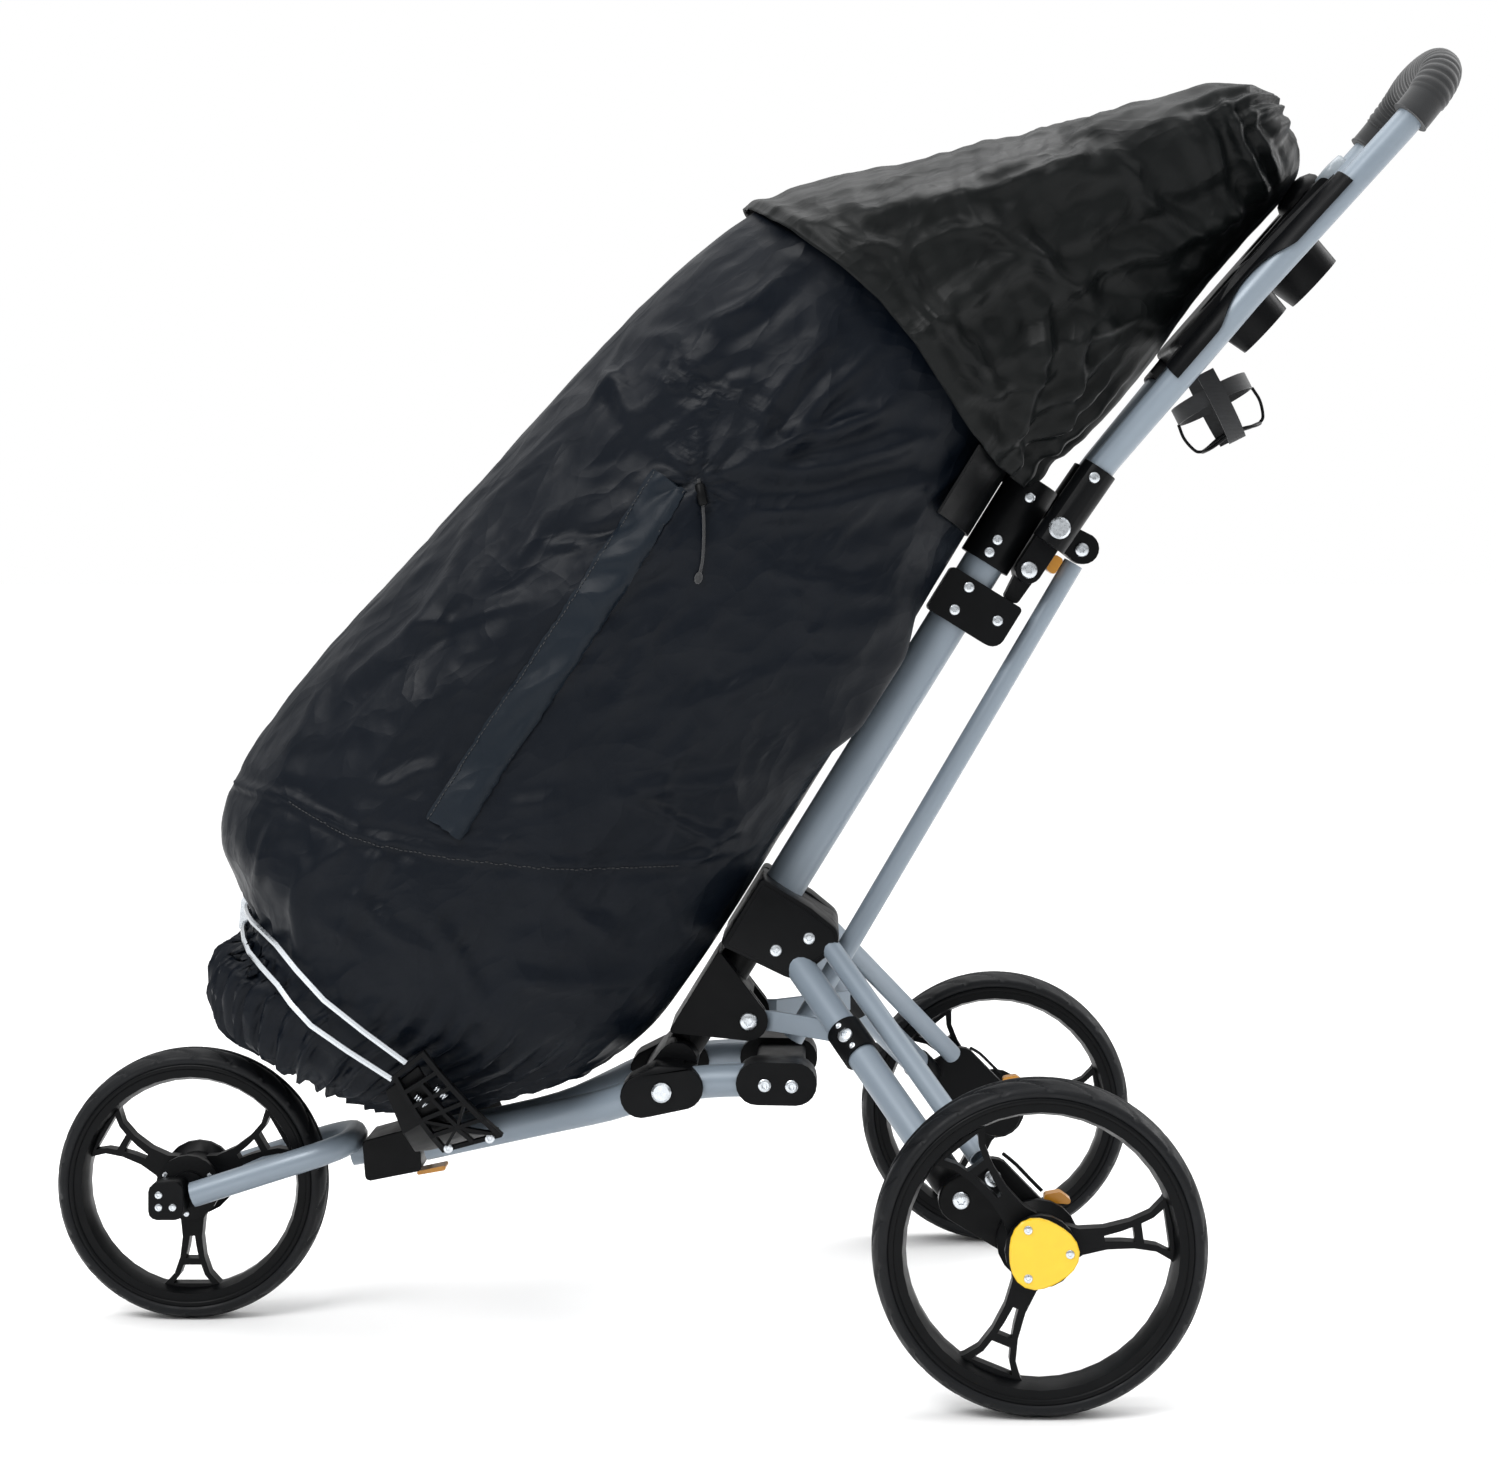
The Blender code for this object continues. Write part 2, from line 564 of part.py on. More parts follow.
def build_front_frame():
    bolt_bore = bpy.data.objects["fold_bore"]
    cutters = []
    for side, sign in SIDES:
        route = smooth_route(mirrored(FRAME_ROUTE, sign), 2)
        wide = tube(f"frame_bore_{side}", route + [route[-1] + Vector((0.0012, 0.0, 0.0))],
                    FRAME_RADIUS + GAP, collection=CUTTERS, resolution=4)
        bpy.context.view_layer.update()
        cutters.append(as_mesh(wide))
        rail = tube(f"frame_tube_{side}", route, FRAME_RADIUS, PAINT, 0.0018, resolution=4)
        bpy.context.view_layer.update()
        rail = as_mesh(rail)
        cut(rail, bolt_bore)
    for (side, sign), bore in zip(SIDES, cutters):
        knuckle = plate(f"knuckle_{side}", round_hull([(-0.0955, 0.2150, 0.0190), (-0.0780, 0.2225, 0.0200),
                                                       (-0.0600, 0.2220, 0.0186)]),
                        sign * 0.0470, sign * 0.0868, PLASTIC, edge=0.0020)
        cut(knuckle, bore, bolt_bore)
    block_outline = round_hull([(0.0060, 0.2262, 0.0188), (0.0400, 0.2256, 0.0188)])
    block = plate("end_block", block_outline, -0.0860, -0.0480, PLASTIC)
    far = plate("end_block_far", block_outline, 0.0480, 0.0860, collection=CUTTERS)
    bridge = plate("end_bridge", round_hull([(0.0080, 0.2180, 0.004), (0.0080, 0.2350, 0.004),
                                             (0.0440, 0.2180, 0.004), (0.0440, 0.2350, 0.004)], 12),
                   -0.0500, 0.0500, collection=CUTTERS)
    join(block, bridge, far)
    cut(block, *cutters)

    plate("front_collar", round_hull([(-0.3425, 0.1345, 0.005), (-0.3445, 0.1615, 0.005),
                                      (-0.3015, 0.1425, 0.005), (-0.3035, 0.1725, 0.005)], 12),
          -0.0330, 0.0330, PLASTIC, edge=0.0025)
    plate("release_lever", round_hull([(-0.3020, 0.1320, 0.0018), (-0.2800, 0.1362, 0.0022)], 12),
          -0.0110, 0.0110, AMBER)
    for side, sign in SIDES:
        stations = [((-0.2560, 0.0345, 0.1695), (0.060, 0.0, 0.0130), 0.0048),
                    ((-0.2600, 0.0540, 0.1700), (0.056, 0.0, 0.0130), 0.0048),
                    ((-0.2700, 0.1020, 0.1800), (0.046, 0.0, 0.0160), 0.0048),
                    ((-0.2800, 0.1370, 0.2040), (0.036, 0.0, 0.0200), 0.0048),
                    ((-0.2975, 0.1440, 0.2420), (0.028, 0.0, 0.0220), 0.0048)]
        ribbon(f"base_bracket_{side}", [((c[0], c[1] * sign, c[2]), w, t) for c, w, t in stations], PLASTIC)
    build_hoop()
    build_fork()


def build_hoop():
    """Two wires round the foot of the bag, held together by a clip at the front."""
    lower = ((-0.3050, 0.1505, 0.2420), (-0.3743, 0.1500, 0.2879), (-0.4060, 0.1330, 0.3200),
             (-0.4380, 0.0950, 0.3430), (-0.4540, 0.0450, 0.3560), (-0.4590, 0.0, 0.3590))
    upper = ((-0.2930, 0.1505, 0.2560), (-0.3630, 0.1520, 0.3100), (-0.4080, 0.1290, 0.3540),
             (-0.4370, 0.0850, 0.3680), (-0.4520, 0.0400, 0.3740), (-0.4570, 0.0, 0.3755))
    wires = []
    for name, half in (("wire_lower", lower), ("wire_upper", upper)):
        whole = mirrored(half, -1) + mirrored(half[:-1][::-1], 1)
        wires.append(as_mesh(tube(name, smooth_route(whole, 2), 0.0026, collection=CUTTERS, resolution=1)))
    clip = plate("bag_hoop", round_hull([(-0.4600, 0.3560, 0.0042), (-0.4580, 0.3785, 0.0042)], 12),
                 -0.0150, 0.0150, STEEL)
    join(clip, *wires)


def build_fork():
    arm = ((-0.4985, 0.0475, 0.1204), (-0.4500, 0.0475, 0.1360), (-0.4050, 0.0470, 0.1500),
           (-0.3800, 0.0420, 0.1575), (-0.3665, 0.0280, 0.1612), (-0.3622, 0.0, 0.1620))
    whole = mirrored(arm, -1) + mirrored(arm[:-1][::-1], 1)
    fork = tube("fork", smooth_route(whole, 2), FORK_RADIUS, PAINT, 0.0018, resolution=4)
    bpy.context.view_layer.update()
    fork = as_mesh(fork)
    neck = cylinder("fork_neck", (-0.3640, 0.0, 0.1500), (-0.3518, 0.0, 0.1522), 0.0135, collection=CUTTERS)
    join(fork, neck)
    for side, sign in SIDES:
        cheek = plate(f"fork_bracket_{side}", round_hull([(-0.5280, 0.1080, 0.008), (-0.5280, 0.1250, 0.008),
                                                          (-0.5125, 0.1265, 0.008), (-0.5125, 0.1080, 0.008)], 12),
                      sign * 0.0355, sign * 0.0590, PLASTIC, edge=0.0015)
        inner = plate(f"axle_cheek_{side}", round_hull([(-0.5230, 0.1160, 0.0130), (-0.5060, 0.1220, 0.0160)]),
                      sign * 0.0300, sign * 0.0358, collection=CUTTERS)
        join(cheek, inner)
        cut(cheek, y_bore(f"axle_bore_{side}", FRONT_CENTRE, 0.0055, 0.0345))
    cylinder("front_axle", FRONT_CENTRE - Vector((0, 0.0340, 0)), FRONT_CENTRE + Vector((0, 0.0340, 0)), 0.0050, STEEL)


def build_handle():
    whole = mirrored(HANDLE_ROUTE, -1) + mirrored(HANDLE_ROUTE[:-1][::-1], 1)
    tube("handle_tube", whole, HANDLE_RADIUS, PAINT, 0.0012, resolution=4)
    tube("grip", whole[GRIP_FROM:-GRIP_FROM], GRIP_RADIUS, FOAM, GRIP_RADIUS - HANDLE_RADIUS - 2 * GAP,
         resolution=4)
    reach = (whole[0] - whole[1]) * 0.1
    ends = [whole[0] + reach], [whole[-1] + Vector((reach.x, -reach.y, reach.z))]
    wide = tube("rail_bore", ends[0] + whole[1:-1] + ends[1], HANDLE_RADIUS + 2 * GAP, collection=CUTTERS,
                resolution=4)
    bpy.context.view_layer.update()
    as_mesh(wide)
    pivot_bore = bpy.data.objects["handle_bore"]
    for side, sign in SIDES:
        foot = on_column(0.5905, 0.0378, 0.050 * sign)
        top = Vector((0.3110, 0.0530 * sign, 0.7685))
        sleeve = cylinder(f"handle_sleeve_{side}", foot, top, 0.0163, PLASTIC, segments=24)
        cut(sleeve, bpy.data.objects["rail_bore"], pivot_bore)


def along_handle(s, n):
    """A side-view point s up the handle's straight run and n above its axis."""
    start = Vector((0.4369, 0.0, 0.9200))
    run = Vector((0.1321, 0.0, 0.1440)).normalized()
    rise = Vector((-run.z, 0.0, run.x))
    point = start + run * s + rise * n
    return (point.x, point.z)


def build_console():
    """The tray between the handle's rails, with two cups under it."""
    tray = plate("console", round_hull([(*along_handle(-0.066, 0.0030), 0.006), (*along_handle(-0.066, 0.0120), 0.006),
                                        (*along_handle(0.118, 0.0030), 0.006), (*along_handle(0.118, 0.0160), 0.006)]),
                 -0.0820, 0.0820, PLASTIC, edge=0.0020)
    cups = []
    for number, (s, y, depth, radius) in enumerate(((-0.004, -0.036, 0.036, 0.0330), (0.070, 0.034, 0.044, 0.0350))):
        x0, z0 = along_handle(s, 0.006)
        x1, z1 = along_handle(s, -depth)
        cups.append(cylinder(f"cup_{number}", (x0, y, z0), (x1, y, z1), radius, collection=CUTTERS,
                             end_radius=radius * 0.82, segments=28))
    join(tray, *cups)
    cut(tray, bpy.data.objects["rail_bore"])
    for number, (s, y, depth, radius) in enumerate(((-0.004, -0.036, 0.032, 0.0295), (0.070, 0.034, 0.040, 0.0315))):
        x0, z0 = along_handle(s, 0.040)
        x1, z1 = along_handle(s, -depth)
        cut(tray, cylinder(f"cup_hollow_{number}", (x0, y, z0), (x1, y, z1), radius, collection=CUTTERS,
                           end_radius=radius * 0.80, segments=28))
    shelf = plate("shelf_hollow", round_hull([(*along_handle(0.030, 0.0160), 0.004), (*along_handle(0.108, 0.0160), 0.004),
                                              (*along_handle(0.030, 0.0400), 0.004), (*along_handle(0.108, 0.0400), 0.004)], 12),
                  -0.0740, -0.0100, collection=CUTTERS)
    cut(tray, shelf)


def build_bottle_holder():
    """Two wire rings joined by webbing, hanging under the console."""
    top = Vector((0.4080, 0.0, 0.8520))
    down = Vector((0.452, 0.0, -0.892))
    across = Vector((0.892, 0.0, 0.452))
    length, radius = 0.062, 0.0350
    rings = []
    for number, distance in enumerate((0.0, length)):
        centre = top + down * distance
        route = []
        for k in range(17):
            angle = 2 * math.pi * k / 16
            route.append(centre + across * radius * math.cos(angle) + Vector((0, radius * math.sin(angle), 0)))
        rings.append(as_mesh(tube(f"bottle_ring_{number}", route, 0.0024, collection=CUTTERS, resolution=2)))
    straps = []
    for number in range(4):
        angle = math.pi / 4 + number * math.pi / 2
        out = across * math.cos(angle) + Vector((0, math.sin(angle), 0))
        side = across * -math.sin(angle) + Vector((0, math.cos(angle), 0))
        stations = [(top + down * d + out * (radius + 0.0008), side * 0.017, 0.0020) for d in (-0.003, length + 0.003)]
        if number == 0:
            holder = ribbon("bottle_holder", stations, WEBBING)
        else:
            straps.append(ribbon(f"bottle_strap_{number}", stations, collection=CUTTERS))
    join(holder, *rings, *straps)


def build_bag():
    loft("golf_bag", [bag_ring(s, 16) for s in BAG_STATIONS], BAG_CLOTH, close_end=False, wall=0.0030)
    loft("rain_cover", [bag_ring(s) for s in COVER_STATIONS], COVER_CLOTH, close_end=False, wall=CLOTH)
    loft("rain_hood", [bag_ring(s, 20, 2.2) for s in HOOD_STATIONS], COVER_CLOTH, close_start=False, wall=CLOTH)


def shade():
    for obj in PARTS.objects:
        if obj.type == "MESH":
            obj.data.shade_smooth()
            obj.data.set_sharp_from_angle(angle=math.radians(35))


clear_scene()
PARTS = new_collection("golf_push_cart")
CUTTERS = new_collection("cutters", hidden=True)
PAINT = new_material("blue_grey_paint", (0.21, 0.26, 0.31), 0.35, 0.3)
BLACK_PAINT = new_material("black_paint", (0.02, 0.02, 0.02), 0.4)
PLASTIC = new_material("black_plastic", (0.012, 0.012, 0.013), 0.5)
RUBBER = new_material("rubber", (0.010, 0.010, 0.011), 0.7)
FOAM = new_material("grip_foam", (0.015, 0.015, 0.016), 0.85)
STEEL = new_material("zinc_steel", (0.60, 0.62, 0.65), 0.3, 1.0)
YELLOW = new_material("yellow_plastic", (0.95, 0.76, 0.05), 0.4)
AMBER = new_material("amber_plastic", (0.60, 0.26, 0.02), 0.4)
WEBBING = new_material("black_webbing", (0.010, 0.010, 0.011), 0.9)
COVER_CLOTH = new_material("cover_nylon", (0.012, 0.013, 0.016), 0.6)
BAG_CLOTH = new_material("bag_nylon", (0.03, 0.03, 0.035), 0.8)

build_column()
build_hub()
for side_name, side_sign in SIDES:
    build_leg(side_name, side_sign)
    build_wheel_bracket(side_name, side_sign)
    wheel_centre = Vector((REAR_CENTRE.x, REAR_CENTRE.y * side_sign, REAR_CENTRE.z))
    span = sorted((side_sign * 0.0232, -side_sign * 0.0260))
    build_wheel(f"rear_{side_name}", wheel_centre, REAR_RADIUS, REAR_WIDTH, (8, 128, 248), span, 0.0063)
    build_hub_cap(side_name, side_sign)
build_front_frame()
build_wheel("front", FRONT_CENTRE, FRONT_RADIUS, FRONT_WIDTH, (30, 150, 270), (-0.0290, 0.0290), 0.0053)
build_handle()
build_console()
build_bottle_holder()
build_bag()
shade()
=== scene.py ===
"""Dresses a packed golf push cart: its tubes and mouldings are finished, and its wheels, fasteners,
trim, rain cover and hood are made round the frame. Metres, +Z up, left is -Y.
"""

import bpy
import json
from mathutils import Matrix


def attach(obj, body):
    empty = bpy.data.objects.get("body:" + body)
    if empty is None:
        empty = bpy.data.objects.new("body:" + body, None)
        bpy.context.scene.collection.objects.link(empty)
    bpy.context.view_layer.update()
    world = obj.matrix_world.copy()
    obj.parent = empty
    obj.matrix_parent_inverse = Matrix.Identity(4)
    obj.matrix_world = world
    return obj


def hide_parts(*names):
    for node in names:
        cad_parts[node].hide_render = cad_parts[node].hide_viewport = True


bl_info = {
    "name": "Golf push cart with covered bag",
    "version": (1, 0, 0),
    "blender": (4, 5, 0),
    "location": "View3D > Sidebar > Golf Cart",
    "description": "Makes the wheels, fittings, rain cover and hood of a golf push cart",
    "category": "Object",
}

import json
import math

import bmesh
import bpy
import numpy as np
from bpy.props import FloatProperty, FloatVectorProperty, IntProperty, PointerProperty, StringProperty
from mathutils import Vector

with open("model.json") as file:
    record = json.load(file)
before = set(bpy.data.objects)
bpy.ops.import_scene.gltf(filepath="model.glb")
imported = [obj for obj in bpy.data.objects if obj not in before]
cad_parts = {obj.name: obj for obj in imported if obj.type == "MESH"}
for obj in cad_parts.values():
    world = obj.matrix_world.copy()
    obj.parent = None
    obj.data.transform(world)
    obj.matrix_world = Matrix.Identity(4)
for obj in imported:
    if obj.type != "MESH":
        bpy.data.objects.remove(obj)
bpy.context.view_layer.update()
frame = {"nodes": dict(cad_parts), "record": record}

SIDES = (("left", -1), ("right", 1))
LEAN = math.radians(58.25)
FOLD_PIVOT = np.array((-0.078, 0.0, 0.219))
ALONG = np.array((math.cos(LEAN), 0.0, math.sin(LEAN)))
BEHIND = np.array((math.sin(LEAN), 0.0, -math.cos(LEAN)))
LEG_PIN = Vector((0.0373, 0.0565, 0.3345))
BRACE_PIN = LEG_PIN + Vector((0.026, 0.0, 0.018))
LEG_RUN = Vector((0.139, 0.2055, -0.169))
LINK_PIN = Vector((-0.0027, 0.0333, 0.2739))
LEG_RADIUS = 0.0133
BRACE_RADIUS = 0.0092
REAR_RADIUS, REAR_WIDTH = 0.135, 0.045
FRONT_RADIUS, FRONT_WIDTH = 0.122, 0.040
REAR_WHEEL = Vector((0.238, 0.300, REAR_RADIUS))
FRONT_WHEEL = Vector((-0.508, 0.0, FRONT_RADIUS))
BOTTLE_TOP = Vector((0.4080, 0.0, 0.8520))
BOTTLE_DOWN = Vector((0.452, 0.0, -0.892)).normalized()
BOTTLE_SIDE = Vector((0.0, 1.0, 0.0))
BOTTLE_OUT = BOTTLE_DOWN.cross(BOTTLE_SIDE).normalized()
HANDLE_RAIL = ((0.3334, 0.0620, 0.7958), (0.3857, 0.0870, 0.8580), (0.4080, 0.0950, 0.8845),
               (0.4369, 0.1000, 0.9190), (0.4700, 0.1010, 0.9560), (0.5690, 0.1010, 1.0640))
GRIP_ROUTE = ((0.5770, 0.1008, 1.0733), (0.5820, 0.1005, 1.0790),
              (0.5940, 0.0970, 1.0940), (0.6035, 0.0890, 1.1075), (0.6090, 0.0760, 1.1175),
              (0.6112, 0.0580, 1.1235), (0.6118, 0.0300, 1.1262), (0.6120, 0.0, 1.1270))

# Stations of the cloth: front along, front behind, rear along, rear behind, half width, narrowing
COVER_STATIONS = ((-0.160, -0.345, -0.150, -0.190, 0.085, 0.10),
                  (-0.155, -0.378, -0.125, -0.150, 0.112, 0.10),
                  (-0.122, -0.403, -0.085, -0.112, 0.127, 0.12), (-0.082, -0.404, -0.045, -0.075, 0.137, 0.12),
                  (-0.050, -0.422, -0.010, -0.052, 0.145, 0.12), (-0.020, -0.458, 0.030, -0.036, 0.151, 0.12),
                  (0.020, -0.473, 0.080, -0.030, 0.154, 0.12), (0.075, -0.474, 0.150, -0.027, 0.156, 0.12),
                  (0.167, -0.464, 0.230, -0.027, 0.157, 0.12), (0.280, -0.439, 0.330, -0.027, 0.157, 0.12),
                  (0.388, -0.419, 0.420, -0.027, 0.157, 0.12), (0.471, -0.406, 0.490, -0.027, 0.155, 0.12),
                  (0.578, -0.387, 0.575, -0.028, 0.151, 0.12), (0.653, -0.367, 0.640, -0.030, 0.146, 0.12),
                  (0.705, -0.345, 0.690, -0.040, 0.138, 0.12))
HOOD_STATIONS = ((0.600, -0.395, 0.590, -0.004, 0.170, 0.12), (0.660, -0.374, 0.645, -0.002, 0.168, 0.14),
                 (0.705, -0.352, 0.690, 0.014, 0.164, 0.18), (0.737, -0.328, 0.720, 0.024, 0.158, 0.22),
                 (0.811, -0.256, 0.785, 0.033, 0.143, 0.28), (0.878, -0.190, 0.850, 0.037, 0.127, 0.33),
                 (0.947, -0.125, 0.915, 0.047, 0.112, 0.36), (1.008, -0.064, 0.965, 0.056, 0.096, 0.38),
                 (1.030, -0.036, 0.995, 0.057, 0.078, 0.38), (1.037, -0.014, 1.015, 0.047, 0.048, 0.38),
                 (1.036, 0.000, 1.024, 0.030, 0.020, 0.38))
# Where the hood's hem runs on each side: how far behind the column's axis, and how far along
HOOD_HEM = ((-0.420, 0.705), (-0.332, 0.703), (-0.287, 0.697), (-0.245, 0.693), (-0.202, 0.686),
            (-0.156, 0.670), (-0.105, 0.647), (-0.071, 0.633), (-0.039, 0.624), (-0.010, 0.622),
            (0.006, 0.640), (0.020, 0.690), (0.060, 0.720))
# Folds pressed into the cloth's sides: from along, behind to along, behind, then width and height
COVER_FOLDS = ((0.626, -0.299, 0.398, -0.344, 0.023, 0.0050), (0.673, -0.273, 0.584, -0.319, 0.012, 0.0060),
               (0.638, -0.231, 0.511, -0.233, 0.012, 0.0070), (0.646, -0.186, 0.509, -0.212, 0.010, 0.0070),
               (0.623, -0.142, 0.491, -0.241, 0.010, 0.0070), (0.608, -0.102, 0.489, -0.229, 0.012, 0.0080),
               (0.592, -0.062, 0.468, -0.206, 0.014, 0.0070), (0.471, -0.258, 0.354, -0.317, 0.012, -0.0050),
               (0.394, -0.342, 0.296, -0.361, 0.012, 0.0045), (0.385, -0.396, 0.214, -0.396, 0.016, 0.0050),
               (0.271, -0.386, 0.149, -0.421, 0.012, 0.0045), (0.178, -0.439, 0.078, -0.438, 0.012, 0.0045),
               (0.485, -0.056, 0.404, -0.106, 0.012, 0.0035), (0.431, -0.063, 0.315, -0.152, 0.012, 0.0035),
               (0.081, -0.319, -0.040, -0.304, 0.010, 0.0045), (0.044, -0.266, -0.009, -0.173, 0.010, 0.0045),
               (0.107, -0.164, 0.090, -0.093, 0.010, 0.0040), (0.147, -0.098, 0.126, -0.035, 0.010, 0.0040),
               (0.022, -0.172, 0.070, -0.061, 0.012, 0.0045), (0.019, -0.371, -0.058, -0.333, 0.009, 0.0045),
               (0.212, -0.319, 0.296, -0.281, 0.012, 0.0030), (0.328, -0.261, 0.412, -0.222, 0.010, -0.0045),
               (0.492, -0.322, 0.517, -0.378, 0.010, 0.0045), (0.012, -0.317, 0.005, -0.231, 0.009, 0.0040))
HOOD_FOLDS = ((0.738, -0.263, 0.911, -0.065, 0.019, 0.0070), (0.724, -0.219, 0.670, -0.068, 0.010, 0.0070),
              (0.690, -0.152, 0.876, -0.064, 0.016, 0.0090), (0.685, -0.078, 0.812, -0.004, 0.014, 0.0090),
              (0.799, -0.189, 0.778, -0.074, 0.014, 0.0070), (0.778, -0.074, 0.956, 0.040, 0.014, 0.0080),
              (0.628, -0.022, 0.766, -0.077, 0.010, 0.0090), (0.639, 0.004, 0.770, -0.039, 0.010, 0.0090),
              (0.965, -0.068, 0.897, 0.035, 0.014, 0.0060), (0.996, -0.042, 0.949, 0.045, 0.008, 0.0070),
              (1.008, -0.023, 0.968, 0.045, 0.007, 0.0060), (0.978, -0.056, 0.913, 0.040, 0.009, 0.0060),
              (0.713, -0.278, 0.728, -0.205, 0.010, 0.0060), (0.839, -0.041, 0.878, 0.030, 0.010, 0.0060),
              (0.800, -0.138, 0.776, -0.012, 0.012, 0.0070), (0.652, -0.098, 0.708, -0.041, 0.009, 0.0070))
CORD_HOLE = (0.476, -0.250)
CROSS_SEAM = ((0.030, -0.466), (0.056, -0.409), (0.064, -0.339), (0.095, -0.257), (0.132, -0.180),
              (0.185, -0.092), (0.234, -0.034))
FLAP_LINE = ((0.107, -0.280), (0.195, -0.279), (0.285, -0.275), (0.374, -0.273), (0.462, -0.273))
CORD_LINE = ((0.476, -0.250), (0.461, -0.241), (0.441, -0.226), (0.419, -0.213), (0.404, -0.208))


# Small helpers


def linear(colour):
    """A hex sRGB colour as a linear RGBA value."""
    channels = [int(colour[i:i + 2], 16) / 255 for i in (1, 3, 5)]
    return tuple(c / 12.92 if c <= 0.04045 else ((c + 0.055) / 1.055) ** 2.4 for c in channels) + (1.0,)


def add(tree, kind, values=None, **settings):
    """Adds a node with its settings, values and links."""
    node = tree.nodes.new(kind)
    for key, value in settings.items():
        setattr(node, key, value)
    for key, value in (values or {}).items():
        if isinstance(value, bpy.types.NodeSocket):
            tree.links.new(value, node.inputs[key])
        else:
            node.inputs[key].default_value = value
    return node


def on_column(along, behind, y=0.0):
    point = FOLD_PIVOT + ALONG * along + BEHIND * behind
    return Vector((point[0], y, point[2]))


def flipped(point, sign):
    return Vector((point[0], point[1] * sign, point[2]))


def new_piece(name, mesh, material, body, smooth=50):
    obj = bpy.data.objects.new(name, mesh)
    bpy.context.scene.collection.objects.link(obj)
    mesh.materials.clear()
    mesh.materials.append(material)
    if smooth:
        mesh.shade_smooth()
        mesh.set_sharp_from_angle(angle=math.radians(smooth))
    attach(obj, body)
    return obj


def mesh_from(name, points, faces, fix_normals=True):
    mesh = bpy.data.meshes.new(name)
    mesh.from_pydata([tuple(p) for p in points], [], faces)
    if fix_normals:
        work = bmesh.new()
        work.from_mesh(mesh)
        bmesh.ops.recalc_face_normals(work, faces=work.faces)
        work.to_mesh(mesh)
        work.free()
    return mesh


def joined(name, meshes):
    """One mesh holding all of these, which are then removed."""
    work = bmesh.new()
    for mesh in meshes:
        work.from_mesh(mesh)
        bpy.data.meshes.remove(mesh)
    mesh = bpy.data.meshes.new(name)
    work.to_mesh(mesh)
    work.free()
    return mesh


def smooth_line(points, steps):
    """Points on a Catmull-Rom curve through the given ones."""
    given = [np.array(p, float) for p in points]
    ends = [2 * given[0] - given[1]] + given + [2 * given[-1] - given[-2]]
    line = []
    for i in range(1, len(ends) - 2):
        a, b, c, d = ends[i - 1:i + 3]
        for k in range(steps):
            t = k / steps
            line.append(0.5 * (2 * b + (c - a) * t + (2 * a - 5 * b + 4 * c - d) * t * t
                               + (3 * b - a - 3 * c + d) * t ** 3))
    return line + [ends[-2]]


def between_rings(rings, sides, closed=False):
    """Faces from each ring of points to the next; a closed run also joins its last ring to its first."""
    faces = []
    for i in range(rings if closed else rings - 1):
        j = (i + 1) % rings
        for k in range(sides):
            n = (k + 1) % sides
            faces.append((i * sides + k, i * sides + n, j * sides + n, j * sides + k))
    return faces


def end_caps(rings, sides):
    return [tuple(range(sides)), tuple((rings - 1) * sides + k for k in range(sides))]


def swept(name, route, radius, sides=24, radius_at=None):
    """A closed round bar along a route, whose radius may vary with place and angle."""
    points = []
    route = [Vector(p) for p in route]
    side = None
    count = len(route)
    for i, centre in enumerate(route):
        ahead = (route[min(i + 1, count - 1)] - route[max(i - 1, 0)]).normalized()
        if side is None:
            side = ahead.orthogonal().normalized()
        side = (side - ahead * side.dot(ahead)).normalized()
        other = ahead.cross(side)
        for k in range(sides):
            angle = 2 * math.pi * k / sides
            r = radius_at(i / (count - 1), angle) if radius_at else radius
            points.append(centre + side * r * math.cos(angle) + other * r * math.sin(angle))
    return mesh_from(name, points, between_rings(count, sides) + end_caps(count, sides))


def stepped_bar(name, route, radii, sides=32):
    """A closed bar with its own radius at each point of the route."""
    return swept(name, route, 0.0, sides, lambda share, _: radii[round(share * (len(radii) - 1))])


def slab(name, outline, y_from, y_to, edge=0.0012):
    """A plate with eased edges: an outline in X and Z, between two values of Y."""
    count = len(outline)
    points = [(x, y_from, z) for x, z in outline] + [(x, y_to, z) for x, z in outline]
    faces = [tuple(range(count)), tuple(range(count, 2 * count))]
    faces += [(k, (k + 1) % count, count + (k + 1) % count, count + k) for k in range(count)]
    mesh = mesh_from(name, points, faces)
    work = bmesh.new()
    work.from_mesh(mesh)
    rims = [e for e in work.edges if abs(e.verts[0].co.y - e.verts[1].co.y) < 1e-6]
    bmesh.ops.bevel(work, geom=rims, offset=edge, segments=2, affect="EDGES", profile=0.6)
    work.to_mesh(mesh)
    work.free()
    return mesh


def hull_outline(circles, segments=28):
    """The outline of a band stretched round circles (x, z, radius)."""
    points = set()
    for x, z, radius in circles:
        for k in range(segments):
            angle = 2 * math.pi * k / segments
            points.add((round(x + radius * math.cos(angle), 6), round(z + radius * math.sin(angle), 6)))

    def half(ordered):
        chain = []
        for p in ordered:
            while len(chain) > 1:
                (ax, az), (bx, bz) = chain[-2:]
                if (bx - ax) * (p[1] - az) - (bz - az) * (p[0] - ax) > 1e-10:
                    break
                chain.pop()
            chain.append(p)
        return chain[:-1]

    ordered = sorted(points)
    return half(ordered) + half(ordered[::-1])


def column_xz(along, behind):
    point = on_column(along, behind)
    return (point.x, point.z)


# Materials


